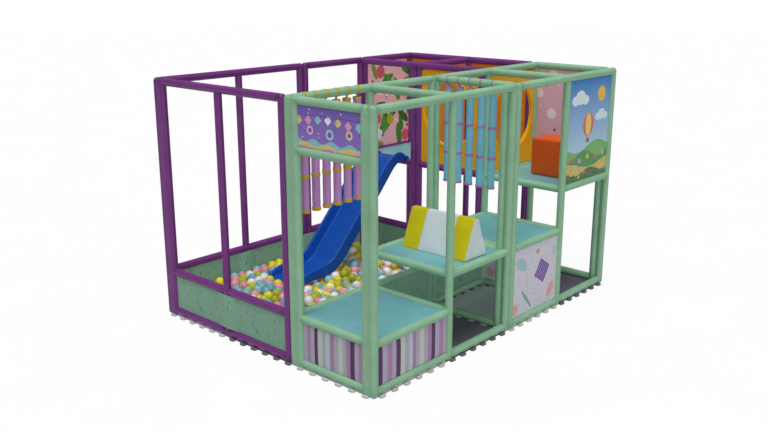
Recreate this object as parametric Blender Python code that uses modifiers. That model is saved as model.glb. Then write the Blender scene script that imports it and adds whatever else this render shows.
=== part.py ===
"""Soft play frame with a ball pit: padded tube frame, decks, slide, hanging bags and foam toys.

Units are metres and +Z is up. The origin lies on the floor under the middle of the frame. +X points
to the open side with the play decks, and +Y points from the entrance end to the rear end. "Near"
names the half towards the entrance and "far" the half towards the rear.
"""

import math
from typing import NamedTuple

import bmesh
import bpy
from mathutils import Matrix, Vector

# Fits
FIT = 0.0003
TWIN_GAP = 0.005

# Padded tubes
SLEEVE_RADIUS = 0.040
SLEEVE_SIDES = 12
TWIN_PITCH = 2 * SLEEVE_RADIUS + TWIN_GAP
FACET_FIT = FIT / math.cos(math.pi / SLEEVE_SIDES)

# Plan of the frame, between tube axes
FRAME_WIDTH = 3.0
FRAME_LENGTH = 4.0
TOWER_WIDTH = 1.01
PIT_RIGHT_BAY = 0.915
FIRST_BAY = 1.05
SECOND_BAY = 0.95
THIRD_BAY = 0.93
LEFT_JOINT_SHIFT = 0.03

X_RIGHT = FRAME_WIDTH / 2
X_RIGHT_TWIN = X_RIGHT - TWIN_PITCH
X_TOWER = X_RIGHT - TOWER_WIDTH
X_TOWER_TWIN = X_TOWER + TWIN_PITCH
X_PIT = X_TOWER - TWIN_PITCH
X_MIDDLE = X_PIT - PIT_RIGHT_BAY
X_MIDDLE_TWIN = X_MIDDLE - TWIN_PITCH
X_LEFT = -FRAME_WIDTH / 2
X_LEFT_TWIN = X_LEFT + TWIN_PITCH
Y_FRONT = -FRAME_LENGTH / 2
Y_FIRST = Y_FRONT + FIRST_BAY
Y_SECOND = Y_FIRST + SECOND_BAY
Y_SECOND_TWIN = Y_SECOND + TWIN_PITCH
Y_THIRD = Y_SECOND_TWIN + THIRD_BAY
Y_THIRD_TWIN = Y_THIRD + TWIN_PITCH
Y_REAR = FRAME_LENGTH / 2
Y_LEFT_JOINT = Y_SECOND - LEFT_JOINT_SHIFT
Y_LEFT_JOINT_TWIN = Y_LEFT_JOINT + TWIN_PITCH

# Heights of the tube axes
MAT_THICKNESS = 0.020
FLOOR_Z = MAT_THICKNESS + FIT
LOW_Z = FLOOR_Z + SLEEVE_RADIUS
FIRST_DECK_Z = 0.505
SECOND_DECK_Z = 0.875
HIGH_DECK_Z = 1.340
SIGN_Z = 2.095
TOP_Z = 2.540

# Floor mat
MAT_MARGIN = 0.015
TEETH_PER_BAY = 6
MAT_BAY = 1.0
TOOTH_DEPTH = 0.045
TOOTH_NECK = 0.050
TOOTH_HEAD = 0.080
TOOTH_CHAMFER = 0.016

# Panels and decks
PANEL_THICKNESS = 0.030
PANEL_EDGE = 0.004
ART_GAP = 0.010
DECK_THICKNESS = 0.055
DECK_RISE = 0.025
DECK_EDGE = 0.008

# Crawl holes and their rims
RIM_MARGIN = 0.008
RIM_BAND = 0.045
RIM_WALL = 0.006
RIM_SEGMENTS = 32
HOLE_RISE_SHARE = 0.73

# Slide
SLIDE_WIDTH = 0.51
SLIDE_INSET = 0.09
SLIDE_X = X_MIDDLE_TWIN - SLIDE_INSET - SLIDE_WIDTH / 2
SLIDE_SHELL = 0.008
SLIDE_LIP = 0.080
SLIDE_HOLD = 0.012
SLIDE_ANGLE = math.radians(47)
SLIDE_TOP_BEND = 0.35
SLIDE_LOW_BEND = 0.40
SLIDE_EXIT_ANGLE = math.radians(5)
SLIDE_EXIT_LENGTH = 0.40
SLIDE_EXIT_Z = 0.200
SLIDE_NOSE_BEND = 0.05
SLIDE_NOSE_ANGLE = math.radians(60)
SLIDE_NOSE_NARROWING = 0.06
SLIDE_BEND_STEPS = 5
SLIDE_RUN_STEPS = 3
SLIDE_NOSE_STEPS = 2
SLIDE_WALL = 0.115
SLIDE_SKIRT = 0.022
SLIDE_RIM = 0.013
SLIDE_FLARE = math.radians(8)
SLIDE_CORNER = 0.030
SLIDE_CLEARANCE = 0.006
WALL_START_SHARES = (0.22, 0.70, 0.08)
WALL_END_SHARES = (0.62, 0.20, 0.18)
SKIRT_END_SHARES = (0.2, 0.8)
SKIRT_START = 1.5 * SLIDE_LIP

# Ball filling
BALL_FILL_Z = 0.275
BALL_HEAP = 0.014
BALL_CELL = 0.190
HEAP_WAVES_ACROSS = 5.1
HEAP_WAVES_ALONG = 4.3
HEAP_SHIFT = 1.3
RIPPLES_ALONG = 11.0
RIPPLE_SHARE = 0.5

# Foam toys
RIDGE_LENGTH = 0.80
RIDGE_BASE = 0.39
RIDGE_TOP = 0.07
RIDGE_HEIGHT = 0.395
RIDGE_Y_OFFSET = 0.505
RIDGE_INSET_RIGHT = 0.025
RIDGE_EDGE = 0.010
CUBE_SIZE = 0.43
CUBE_INSET_RIGHT = 0.19
CUBE_INSET_FRONT = 0.325

# Hanging bags
BAG_RADIUS = 0.044
BAG_EDGE = 0.012
BAG_TOP_DROP = 0.062
BAG_LENGTH = 1.010
STRAP_WIDTH = 0.034
STRAP_THICKNESS = 0.004
PINK_BAGS = 6
PINK_INSET_NEAR = 0.173
PINK_INSET_FAR = 0.179
BLUE_BAGS = 5
BLUE_INSET_TOWER = 0.160
BLUE_INSET_RIGHT = 0.288


class Tube(NamedTuple):
    """The axis of one padded tube."""

    start: Vector
    end: Vector


class Rails(NamedTuple):
    """Level tubes between two plan points, one at each height."""

    start: tuple
    end: tuple
    heights: tuple


class Frame(NamedTuple):
    """One welded section of the frame: its own posts and the rails that they carry."""

    name: str
    posts: tuple
    rails: tuple


GREEN_FRAMES = (
    Frame(
        "green_front_frame",
        ((X_RIGHT_TWIN, Y_FRONT), (X_TOWER_TWIN, Y_FRONT)),
        (Rails((X_RIGHT_TWIN, Y_FRONT), (X_TOWER_TWIN, Y_FRONT), (LOW_Z, FIRST_DECK_Z, SIGN_Z, TOP_Z)),),
    ),
    Frame(
        "green_right_frame_near",
        ((X_RIGHT, Y_FRONT), (X_RIGHT, Y_FIRST), (X_RIGHT, Y_SECOND)),
        (
            Rails((X_RIGHT, Y_FRONT), (X_RIGHT, Y_FIRST), (LOW_Z, FIRST_DECK_Z)),
            Rails((X_RIGHT, Y_FIRST), (X_RIGHT, Y_SECOND), (LOW_Z, SECOND_DECK_Z)),
            Rails((X_RIGHT, Y_FRONT), (X_RIGHT, Y_SECOND), (TOP_Z,)),
        ),
    ),
    Frame(
        "green_inner_frame_near",
        ((X_TOWER, Y_FRONT), (X_TOWER, Y_FIRST), (X_TOWER, Y_SECOND)),
        (
            Rails((X_TOWER, Y_FRONT), (X_TOWER, Y_FIRST), (LOW_Z, FIRST_DECK_Z)),
            Rails((X_TOWER, Y_FIRST), (X_TOWER, Y_SECOND), (LOW_Z, FIRST_DECK_Z, SECOND_DECK_Z)),
            Rails((X_TOWER, Y_FRONT), (X_TOWER, Y_SECOND), (TOP_Z,)),
            Rails((X_TOWER, Y_FIRST), (X_RIGHT, Y_FIRST), (LOW_Z, FIRST_DECK_Z, SECOND_DECK_Z, TOP_Z)),
        ),
    ),
    Frame(
        "green_middle_frame",
        ((X_RIGHT_TWIN, Y_SECOND),),
        (Rails((X_RIGHT_TWIN, Y_SECOND), (X_TOWER, Y_SECOND), (LOW_Z, SECOND_DECK_Z)),),
    ),
    Frame(
        "green_right_frame_far",
        ((X_RIGHT, Y_SECOND_TWIN), (X_RIGHT, Y_THIRD), (X_RIGHT, Y_REAR)),
        (
            Rails((X_RIGHT, Y_SECOND_TWIN), (X_RIGHT, Y_THIRD), (LOW_Z, SECOND_DECK_Z)),
            Rails((X_RIGHT, Y_THIRD), (X_RIGHT, Y_REAR), (LOW_Z, HIGH_DECK_Z)),
            Rails((X_RIGHT, Y_SECOND_TWIN), (X_RIGHT, Y_REAR), (TOP_Z,)),
        ),
    ),
    Frame(
        "green_inner_frame_far",
        ((X_TOWER, Y_SECOND_TWIN), (X_TOWER, Y_THIRD), (X_TOWER, Y_REAR)),
        (
            Rails((X_TOWER, Y_SECOND_TWIN), (X_TOWER, Y_THIRD), (LOW_Z, FIRST_DECK_Z, SECOND_DECK_Z)),
            Rails((X_TOWER, Y_THIRD), (X_TOWER, Y_REAR), (LOW_Z, HIGH_DECK_Z)),
            Rails((X_TOWER, Y_SECOND_TWIN), (X_TOWER, Y_REAR), (TOP_Z,)),
            Rails((X_TOWER, Y_SECOND_TWIN), (X_RIGHT, Y_SECOND_TWIN), (SECOND_DECK_Z, TOP_Z)),
            Rails((X_TOWER, Y_THIRD), (X_RIGHT, Y_THIRD), (LOW_Z, SECOND_DECK_Z, HIGH_DECK_Z, TOP_Z)),
        ),
    ),
    Frame(
        "green_rear_frame",
        ((X_RIGHT_TWIN, Y_REAR),),
        (Rails((X_RIGHT_TWIN, Y_REAR), (X_TOWER, Y_REAR), (LOW_Z, HIGH_DECK_Z, TOP_Z)),),
    ),
)

PURPLE_FRAMES = (
    Frame(
        "purple_front_frame",
        ((X_LEFT_TWIN, Y_FRONT), (X_MIDDLE, Y_FRONT), (X_PIT, Y_FRONT)),
        (
            Rails((X_LEFT_TWIN, Y_FRONT), (X_MIDDLE, Y_FRONT), (LOW_Z, FIRST_DECK_Z)),
            Rails((X_MIDDLE, Y_FRONT), (X_PIT, Y_FRONT), (LOW_Z, FIRST_DECK_Z)),
            Rails((X_LEFT_TWIN, Y_FRONT), (X_PIT, Y_FRONT), (TOP_Z,)),
        ),
    ),
    Frame(
        "purple_left_frame_near",
        ((X_LEFT, Y_FRONT), (X_LEFT, Y_FIRST), (X_LEFT, Y_LEFT_JOINT)),
        (
            Rails((X_LEFT, Y_FRONT), (X_LEFT, Y_FIRST), (LOW_Z, FIRST_DECK_Z)),
            Rails((X_LEFT, Y_FIRST), (X_LEFT, Y_LEFT_JOINT), (LOW_Z, FIRST_DECK_Z)),
            Rails((X_LEFT, Y_FRONT), (X_LEFT, Y_LEFT_JOINT), (TOP_Z,)),
        ),
    ),
    Frame(
        "purple_left_frame_mid",
        ((X_LEFT, Y_LEFT_JOINT_TWIN), (X_LEFT, Y_THIRD)),
        (Rails((X_LEFT, Y_LEFT_JOINT_TWIN), (X_LEFT, Y_THIRD), (LOW_Z, FIRST_DECK_Z, TOP_Z)),),
    ),
    Frame(
        "purple_left_frame_far",
        ((X_LEFT, Y_THIRD_TWIN), (X_LEFT, Y_REAR)),
        (Rails((X_LEFT, Y_THIRD_TWIN), (X_LEFT, Y_REAR), (LOW_Z, HIGH_DECK_Z, TOP_Z)),),
    ),
    Frame(
        "purple_cross_frame",
        ((X_MIDDLE_TWIN, Y_THIRD), (X_MIDDLE, Y_THIRD), (X_PIT, Y_THIRD)),
        (
            Rails((X_MIDDLE_TWIN, Y_THIRD), (X_LEFT, Y_THIRD), (LOW_Z, FIRST_DECK_Z, HIGH_DECK_Z)),
            Rails((X_MIDDLE, Y_THIRD), (X_PIT, Y_THIRD), (LOW_Z, FIRST_DECK_Z, HIGH_DECK_Z)),
            Rails((X_PIT, Y_THIRD), (X_LEFT, Y_THIRD), (TOP_Z,)),
        ),
    ),
    Frame(
        "purple_rear_frame",
        ((X_MIDDLE, Y_REAR), (X_PIT, Y_REAR)),
        (
            Rails((X_MIDDLE, Y_REAR), (X_LEFT, Y_REAR), (LOW_Z, HIGH_DECK_Z)),
            Rails((X_MIDDLE, Y_REAR), (X_PIT, Y_REAR), (LOW_Z, HIGH_DECK_Z)),
            Rails((X_PIT, Y_REAR), (X_LEFT, Y_REAR), (TOP_Z,)),
            Rails((X_MIDDLE, Y_REAR), (X_MIDDLE, Y_THIRD), (HIGH_DECK_Z, TOP_Z)),
            Rails((X_PIT, Y_REAR), (X_PIT, Y_THIRD), (HIGH_DECK_Z,)),
        ),
    ),
)


# Scene helpers


def clear_scene():
    """Removes every object that the file opened with."""
    for obj in list(bpy.data.objects):
        bpy.data.objects.remove(obj, do_unlink=True)


def make_collection(name):
    """A new collection under the scene's own."""
    collection = bpy.data.collections.new(name)
    bpy.context.scene.collection.children.link(collection)
    return collection


def srgb_to_linear(value):
    """One sRGB channel, 0 to 1, as linear light."""
    return value / 12.92 if value <= 0.04045 else ((value + 0.055) / 1.055) ** 2.4


def make_material(name, colour, roughness):
    """A Principled material from an sRGB hex colour."""
    material = bpy.data.materials.new(name)
    material.use_nodes = True
    shader = material.node_tree.nodes["Principled BSDF"]
    channels = [srgb_to_linear(int(colour[i : i + 2], 16) / 255) for i in (0, 2, 4)]
    shader.inputs["Base Color"].default_value = (*channels, 1.0)
    shader.inputs["Roughness"].default_value = roughness
    shader.inputs["Metallic"].default_value = 0.0
    material.diffuse_color = (*channels, 1.0)
    return material


def mesh_from(bm, name):
    """Turns a bmesh into a mesh and frees it."""
    mesh = bpy.data.meshes.new(name)
    bm.to_mesh(mesh)
    bm.free()
    return mesh


def add_object(name, mesh, material, collection, location=(0, 0, 0), rotation=(0, 0, 0)):
    """Places a mesh in the scene as a named, smooth-shaded piece."""
    obj = bpy.data.objects.new(name, mesh)
    obj.location = location
    obj.rotation_euler = rotation
    mesh.materials.clear()
    mesh.materials.append(material)
    mesh.shade_smooth()
    mesh.set_sharp_from_angle(angle=math.radians(40))
    collection.objects.link(obj)
    return obj


def add_bevel(obj, width, segments=1):
    """Rounds a piece's sharp edges."""
    bevel = obj.modifiers.new("rounded_edges", "BEVEL")
    bevel.width = width
    bevel.segments = segments
    bevel.limit_method = "ANGLE"
    bevel.angle_limit = math.radians(40)


def add_cutter(name, mesh, collection, location=(0, 0, 0), rotation=(0, 0, 0)):
    """A hidden wire object that only cuts or joins others."""
    cutter = bpy.data.objects.new(name, mesh)
    cutter.location = location
    cutter.rotation_euler = rotation
    cutter.hide_render = True
    cutter.display_type = "WIRE"
    collection.objects.link(cutter)
    return cutter


def cut_with(obj, cutter):
    """Cuts one piece with one cutter, which stays in the file."""
    boolean = obj.modifiers.new("cut", "BOOLEAN")
    boolean.operation = "DIFFERENCE"
    boolean.solver = "EXACT"
    boolean.object = cutter


def apply_boolean(mesh, tools, operation, solver="EXACT"):
    """Joins a closed mesh with others, or cuts it with them, and returns the result."""
    holder = make_collection("operands")
    for number, tool in enumerate(tools):
        holder.objects.link(bpy.data.objects.new(f"operand_{number}", tool))
    base = bpy.data.objects.new("operand_base", mesh)
    bpy.context.scene.collection.objects.link(base)
    boolean = base.modifiers.new("combine", "BOOLEAN")
    boolean.operation = operation
    boolean.solver = solver
    boolean.operand_type = "COLLECTION"
    boolean.collection = holder
    depsgraph = bpy.context.evaluated_depsgraph_get()
    result = bpy.data.meshes.new_from_object(base.evaluated_get(depsgraph))
    for obj in [base, *holder.objects]:
        bpy.data.objects.remove(obj, do_unlink=True)
    bpy.data.collections.remove(holder)
    return result


def merge_flat_faces(mesh):
    """Dissolves the edges that a Boolean leaves inside flat faces."""
    bm = bmesh.new()
    bm.from_mesh(mesh)
    bmesh.ops.dissolve_limit(bm, angle_limit=math.radians(0.5), verts=bm.verts, edges=bm.edges)
    bmesh.ops.dissolve_degenerate(bm, edges=bm.edges, dist=0.00001)
    bm.to_mesh(mesh)
    bm.free()
    return mesh


def box_mesh(name, size):
    """A box centred on its origin."""
    bm = bmesh.new()
    bmesh.ops.create_cube(bm, size=1, matrix=Matrix.Diagonal((*size, 1)))
    return mesh_from(bm, name)


def outline_mesh(name, points, thickness):
    """A closed flat outline in XY, thickened evenly about the plane z = 0."""
    curve = bpy.data.curves.new(name, "CURVE")
    curve.dimensions = "2D"
    curve.fill_mode = "BOTH"
    curve.extrude = thickness / 2
    spline = curve.splines.new("POLY")
    spline.points.add(len(points) - 1)
    for point, (x, y) in zip(spline.points, points):
        point.co = (x, y, 0, 1)
    spline.use_cyclic_u = True
    holder = bpy.data.objects.new(name, curve)
    bpy.context.scene.collection.objects.link(holder)
    depsgraph = bpy.context.evaluated_depsgraph_get()
    mesh = bpy.data.meshes.new_from_object(holder.evaluated_get(depsgraph))
    bpy.data.objects.remove(holder, do_unlink=True)
    bpy.data.curves.remove(curve)
    bm = bmesh.new()
    bm.from_mesh(mesh)
    bmesh.ops.remove_doubles(bm, verts=bm.verts, dist=0.00001)
    bmesh.ops.recalc_face_normals(bm, faces=bm.faces)
    bm.to_mesh(mesh)
    bm.free()
    return mesh


# Tube frame


def frame_tubes(frame):
    """The axes of a frame's posts and rails."""
    tubes = [Tube(Vector((x, y, FLOOR_Z)), Vector((x, y, TOP_Z))) for x, y in frame.posts]
    for rails in frame.rails:
        for z in rails.heights:
            tubes.append(Tube(Vector((*rails.start, z)), Vector((*rails.end, z))))
    return tubes


def crowned_posts(frame):
    """The posts that no top rail runs across, so that their ends stay in view."""
    crowned = []
    for x, y in frame.posts:
        point = Vector((x, y, TOP_Z))
        crossed = False
        for tube in frame_tubes(frame):
            reach = min((tube.start - point).length, (tube.end - point).length)
            detour = (tube.start - point).length + (tube.end - point).length
            if reach > SLEEVE_RADIUS and detour < (tube.start - tube.end).length + FIT:
                crossed = True
        if not crossed:
            crowned.append(point)
    return crowned


def tube_mesh(tube, radius):
    """One padded tube as a closed prism."""
    axis = tube.end - tube.start
    turn = Vector((0, 0, 1)).rotation_difference(axis).to_matrix().to_4x4()
    bm = bmesh.new()
    bmesh.ops.create_cone(
        bm,
        cap_ends=True,
        segments=SLEEVE_SIDES,
        radius1=radius,
        radius2=radius,
        depth=axis.length,
        matrix=Matrix.Translation((tube.start + tube.end) / 2) @ turn,
    )
    return mesh_from(bm, "tube")


def crown_mesh(point, radius):
    """The ball-shaped cap on a post's top."""
    bm = bmesh.new()
    bmesh.ops.create_uvsphere(
        bm,
        u_segments=SLEEVE_SIDES,
        v_segments=SLEEVE_SIDES // 2,
        radius=radius,
        matrix=Matrix.Translation(point),
    )
    return mesh_from(bm, "crown")


def sleeve_meshes(frame, radius):
    """Every tube and crown of a frame at the given radius."""
    meshes = [tube_mesh(tube, radius) for tube in frame_tubes(frame)]
    meshes.extend(crown_mesh(point, radius) for point in crowned_posts(frame))
    return meshes


def touches(tube, others):
    """Whether a tube comes within reach of any of the others."""
    reach = 2 * SLEEVE_RADIUS + TWIN_GAP / 2
    for other in others:
        apart = False
        for axis in range(3):
            low, high = sorted((tube.start[axis], tube.end[axis]))
            other_low, other_high = sorted((other.start[axis], other.end[axis]))
            if low - other_high > reach or other_low - high > reach:
                apart = True
        if not apart:
            return True
    return False


def build_frames(frames, material, collection):
    """Builds each frame as one body, its loose rail ends coped around the frames before it.

    Equal tubes cross edge on edge at the posts, where the EXACT solver can leave slits, so these
    closed meshes are joined and cut by the MANIFOLD one.
    """
    for number, frame in enumerate(frames):
        first, *rest = sleeve_meshes(frame, SLEEVE_RADIUS)
        mesh = merge_flat_faces(apply_boolean(first, rest, "UNION", "MANIFOLD"))
        own = frame_tubes(frame)
        copes = []
        for earlier in frames[:number]:
            near = [tube for tube in frame_tubes(earlier) if touches(tube, own)]
            copes.extend(tube_mesh(tube, SLEEVE_RADIUS + FACET_FIT) for tube in near)
            for point in crowned_posts(earlier):
                if touches(Tube(point, point), own):
                    copes.append(crown_mesh(point, SLEEVE_RADIUS + FACET_FIT))
        if copes:
            mesh = merge_flat_faces(apply_boolean(mesh, copes, "DIFFERENCE", "MANIFOLD"))
        add_object(frame.name, mesh, material, collection)


# Floor mat


def tooth_points(start, along, outward):
    """One dovetail tooth of the mat's edge, in walking order."""
    steps = (
        (-TOOTH_NECK / 2, 0),
        (-TOOTH_HEAD / 2, TOOTH_DEPTH - TOOTH_CHAMFER),
        (-TOOTH_HEAD / 2 + TOOTH_CHAMFER, TOOTH_DEPTH),
        (TOOTH_HEAD / 2 - TOOTH_CHAMFER, TOOTH_DEPTH),
        (TOOTH_HEAD / 2, TOOTH_DEPTH - TOOTH_CHAMFER),
        (TOOTH_NECK / 2, 0),
    )
    return [start + along * step + outward * out for step, out in steps]


def build_floor_mat(material, collection):
    """The jigsaw floor mat with its dovetail teeth on all four sides."""
    half = Vector((FRAME_WIDTH / 2 + MAT_MARGIN, FRAME_LENGTH / 2 + MAT_MARGIN))
    corners = [
        Vector((-half.x, -half.y)),
        Vector((half.x, -half.y)),
        Vector((half.x, half.y)),
        Vector((-half.x, half.y)),
    ]
    points = []
    for corner, following in zip(corners, corners[1:] + corners[:1]):
        side = following - corner
        along = side.normalized()
        outward = Vector((along.y, -along.x))
        count = TEETH_PER_BAY * round(side.length / MAT_BAY)
        points.append(corner)
        for number in range(count):
            middle = corner + side * (number + 0.5) / count
            points.extend(tooth_points(middle, along, outward))
    mesh = outline_mesh("floor_mat", points, MAT_THICKNESS)
    add_object("floor_mat", mesh, material, collection, (0, 0, MAT_THICKNESS / 2))


# Panels


class Panel(NamedTuple):
    """A padded board that stands in the frame's plane between two posts and two rails."""

    name: str
    start: tuple
    end: tuple
    low: float
    high: float
    top_gap: float = FIT


PIT_WALLS = (
    Panel("pit_wall_front_left", (X_LEFT_TWIN, Y_FRONT), (X_MIDDLE, Y_FRONT), LOW_Z, FIRST_DECK_Z),
    Panel("pit_wall_front_right", (X_MIDDLE, Y_FRONT), (X_PIT, Y_FRONT), LOW_Z, FIRST_DECK_Z),
    Panel("pit_wall_left_near", (X_LEFT, Y_FRONT), (X_LEFT, Y_FIRST), LOW_Z, FIRST_DECK_Z),
    Panel("pit_wall_left_mid", (X_LEFT, Y_FIRST), (X_LEFT, Y_LEFT_JOINT), LOW_Z, FIRST_DECK_Z),
    Panel("pit_wall_left_far", (X_LEFT, Y_LEFT_JOINT_TWIN), (X_LEFT, Y_THIRD), LOW_Z, FIRST_DECK_Z),
    Panel("pit_wall_rear_left", (X_LEFT, Y_THIRD), (X_MIDDLE_TWIN, Y_THIRD), LOW_Z, FIRST_DECK_Z),
    Panel("pit_wall_rear_right", (X_MIDDLE, Y_THIRD), (X_PIT, Y_THIRD), LOW_Z, FIRST_DECK_Z),
    Panel("pit_wall_side_near", (X_TOWER, Y_FRONT), (X_TOWER, Y_FIRST), LOW_Z, FIRST_DECK_Z),
    Panel("pit_wall_side_mid", (X_TOWER, Y_FIRST), (X_TOWER, Y_SECOND), LOW_Z, FIRST_DECK_Z),
    Panel("pit_wall_side_far", (X_TOWER, Y_SECOND_TWIN), (X_TOWER, Y_THIRD), LOW_Z, FIRST_DECK_Z),
)
STRIPED_FRONT = Panel(
    "striped_panel_front", (X_RIGHT_TWIN, Y_FRONT), (X_TOWER_TWIN, Y_FRONT), LOW_Z, FIRST_DECK_Z
)
STRIPED_RIGHT = Panel("striped_panel_right", (X_RIGHT, Y_FRONT), (X_RIGHT, Y_FIRST), LOW_Z, FIRST_DECK_Z)
DOTTED_RIGHT = Panel(
    "dotted_panel_right", (X_RIGHT, Y_SECOND_TWIN), (X_RIGHT, Y_THIRD), LOW_Z, SECOND_DECK_Z
)
DOTTED_REAR = Panel("dotted_panel_rear", (X_TOWER, Y_THIRD), (X_RIGHT, Y_THIRD), LOW_Z, SECOND_DECK_Z)
SIGN_PANEL = Panel(
    "sign_panel", (X_RIGHT_TWIN, Y_FRONT), (X_TOWER_TWIN, Y_FRONT), SIGN_Z, TOP_Z, ART_GAP
)
SKY_PANEL = Panel("sky_panel", (X_RIGHT, Y_THIRD), (X_RIGHT, Y_REAR), HIGH_DECK_Z, TOP_Z, ART_GAP)
PINK_PANEL = Panel("pink_panel", (X_TOWER, Y_REAR), (X_RIGHT_TWIN, Y_REAR), HIGH_DECK_Z, TOP_Z, ART_GAP)
LEAF_PANEL = Panel("leaf_panel", (X_LEFT, Y_THIRD_TWIN), (X_LEFT, Y_REAR), HIGH_DECK_Z, TOP_Z, ART_GAP)
ORANGE_PANELS = (
    Panel("orange_panel_left", (X_LEFT, Y_REAR), (X_MIDDLE, Y_REAR), HIGH_DECK_Z, TOP_Z, ART_GAP),
    Panel("orange_panel_right", (X_MIDDLE, Y_REAR), (X_PIT, Y_REAR), HIGH_DECK_Z, TOP_Z, ART_GAP),
)
CRAWL_FRONT = Panel("crawl_panel_front", (X_MIDDLE, Y_THIRD), (X_PIT, Y_THIRD), HIGH_DECK_Z, TOP_Z, ART_GAP)
CRAWL_SIDE = Panel("crawl_panel_side", (X_TOWER, Y_THIRD), (X_TOWER, Y_REAR), HIGH_DECK_Z, TOP_Z, ART_GAP)


def panel_place(panel):
    """A panel's width, height, centre and turn about the vertical."""
    start = Vector(panel.start)
    end = Vector(panel.end)
    low = panel.low + SLEEVE_RADIUS + FIT
    high = panel.high - SLEEVE_RADIUS - panel.top_gap
    width = (end - start).length - 2 * (SLEEVE_RADIUS + FIT)
    centre = ((start.x + end.x) / 2, (start.y + end.y) / 2, (low + high) / 2)
    turn = math.atan2(end.y - start.y, end.x - start.x)
    return width, high - low, centre, turn


def build_panel(panel, material, collection):
    """One padded board with softened edges."""
    width, height, centre, turn = panel_place(panel)
    mesh = box_mesh(panel.name, (width, PANEL_THICKNESS, height))
    obj = add_object(panel.name, mesh, material, collection, centre, (0, 0, turn))
    add_bevel(obj, PANEL_EDGE)
    return obj


def rim_radius(panel):
    """The free radius inside a crawl hole's rim."""
    width, height, centre, turn = panel_place(panel)
    return min(width, height) / 2 - RIM_MARGIN - RIM_BAND


def crawl_hole_height(panel):
    """The height of a crawl hole's centre, high on its board but clear of the board's edges."""
    width, height, centre, turn = panel_place(panel)
    spare = height / 2 - rim_radius(panel) - RIM_BAND - RIM_MARGIN
    return centre[2] + spare * (2 * HOLE_RISE_SHARE - 1)


def build_crawl_panel(panel, material, collection, cutters):
    """A board with a round hole to crawl through."""
    obj = build_panel(panel, material, collection)
    centre = panel_place(panel)[2]
    turn = obj.rotation_euler.z
    radius = (rim_radius(panel) + RIM_WALL + FIT) / math.cos(math.pi / RIM_SEGMENTS)
    bm = bmesh.new()
    bmesh.ops.create_cone(
        bm,
        cap_ends=True,
        segments=RIM_SEGMENTS,
        radius1=radius,
        radius2=radius,
        depth=3 * PANEL_THICKNESS,
    )
    mesh = mesh_from(bm, "crawl_hole")
    place = (centre[0], centre[1], crawl_hole_height(panel))
    cut_with(obj, add_cutter(panel.name + "_hole", mesh, cutters, place, (math.pi / 2, 0, turn)))


def build_crawl_rim(name, panel, side, material, collection):
    """The rim that lines a crawl hole: a turned sleeve with a flange on one face."""
    radius = rim_radius(panel)
    centre = panel_place(panel)[2]
    face = PANEL_THICKNESS / 2 + FIT
    profile = (
        (radius, face + RIM_WALL / 2),
        (radius + RIM_WALL / 2, face + RIM_WALL),
        (radius + RIM_BAND - RIM_WALL / 2, face + RIM_WALL),
        (radius + RIM_BAND, face + RIM_WALL / 2),
        (radius + RIM_BAND, face),
        (radius + RIM_WALL, face),
        (radius + RIM_WALL, -PANEL_THICKNESS / 2),
        (radius, -PANEL_THICKNESS / 2),
    )
    bm = bmesh.new()
    verts = [bm.verts.new((x, 0, z)) for x, z in profile]
    for vert, following in zip(verts, verts[1:] + verts[:1]):
        bm.edges.new((vert, following))
    turn = math.atan2(panel.end[1] - panel.start[1], panel.end[0] - panel.start[0])
    place = (centre[0], centre[1], crawl_hole_height(panel))
    tilt = (math.pi / 2 * side, 0, turn)
    obj = add_object(name, mesh_from(bm, name), material, collection, place, tilt)
    screw = obj.modifiers.new("turned", "SCREW")
    screw.axis = "Z"
    screw.steps = RIM_SEGMENTS
    screw.render_steps = RIM_SEGMENTS
    screw.use_merge_vertices = True
    screw.merge_threshold = 0.00005
    screw.use_smooth_shade = True


# Decks


class Deck(NamedTuple):
    """A padded deck between four rails."""

    name: str
    left: float
    right: float
    front: float
    rear: float
    height: float


DECKS = (
    Deck("first_deck", X_TOWER, X_RIGHT, Y_FRONT, Y_FIRST, FIRST_DECK_Z),
    Deck("second_deck", X_TOWER, X_RIGHT, Y_FIRST, Y_SECOND, SECOND_DECK_Z),
    Deck("third_deck", X_TOWER, X_RIGHT, Y_SECOND_TWIN, Y_THIRD, SECOND_DECK_Z),
    Deck("high_deck", X_TOWER, X_RIGHT, Y_THIRD, Y_REAR, HIGH_DECK_Z),
    Deck("slide_deck_left", X_LEFT, X_MIDDLE, Y_THIRD, Y_REAR, HIGH_DECK_Z),
    Deck("slide_deck_right", X_MIDDLE, X_PIT, Y_THIRD, Y_REAR, HIGH_DECK_Z),
)


def build_deck(deck, material, collection):
    """A vinyl-covered deck board that drops in between its rails."""
    width = deck.right - deck.left - 2 * (SLEEVE_RADIUS + FIT)
    length = deck.rear - deck.front - 2 * (SLEEVE_RADIUS + FIT)
    mesh = box_mesh(deck.name, (width, length, DECK_THICKNESS))
    centre = (
        (deck.left + deck.right) / 2,
        (deck.front + deck.rear) / 2,
        deck.height + DECK_RISE - DECK_THICKNESS / 2,
    )
    obj = add_object(deck.name, mesh, material, collection, centre)
    add_bevel(obj, DECK_EDGE)


# Slide


class Station(NamedTuple):
    """One place along the slide: a point on its bed, the bed's fall and the walls there."""

    y: float
    z: float
    fall: float
    wall: float
    skirt: float
    width: float


def ramp(value):
    """Rises smoothly from 0 to 1."""
    value = min(max(value, 0), 1)
    return value * value * (3 - 2 * value)


def slide_moves(length, turn, steps):
    """One stretch of the slide's bed as equal moves, each a length and a turn."""
    return [(length / steps, turn / steps)] * steps


def wall_share(shares, distance, first_reach, second_reach):
    """How much of the walls' full height stands at a distance from one end of the slide."""
    return shares[0] + shares[1] * ramp(distance / first_reach) + shares[2] * ramp(distance / second_reach)


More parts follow.
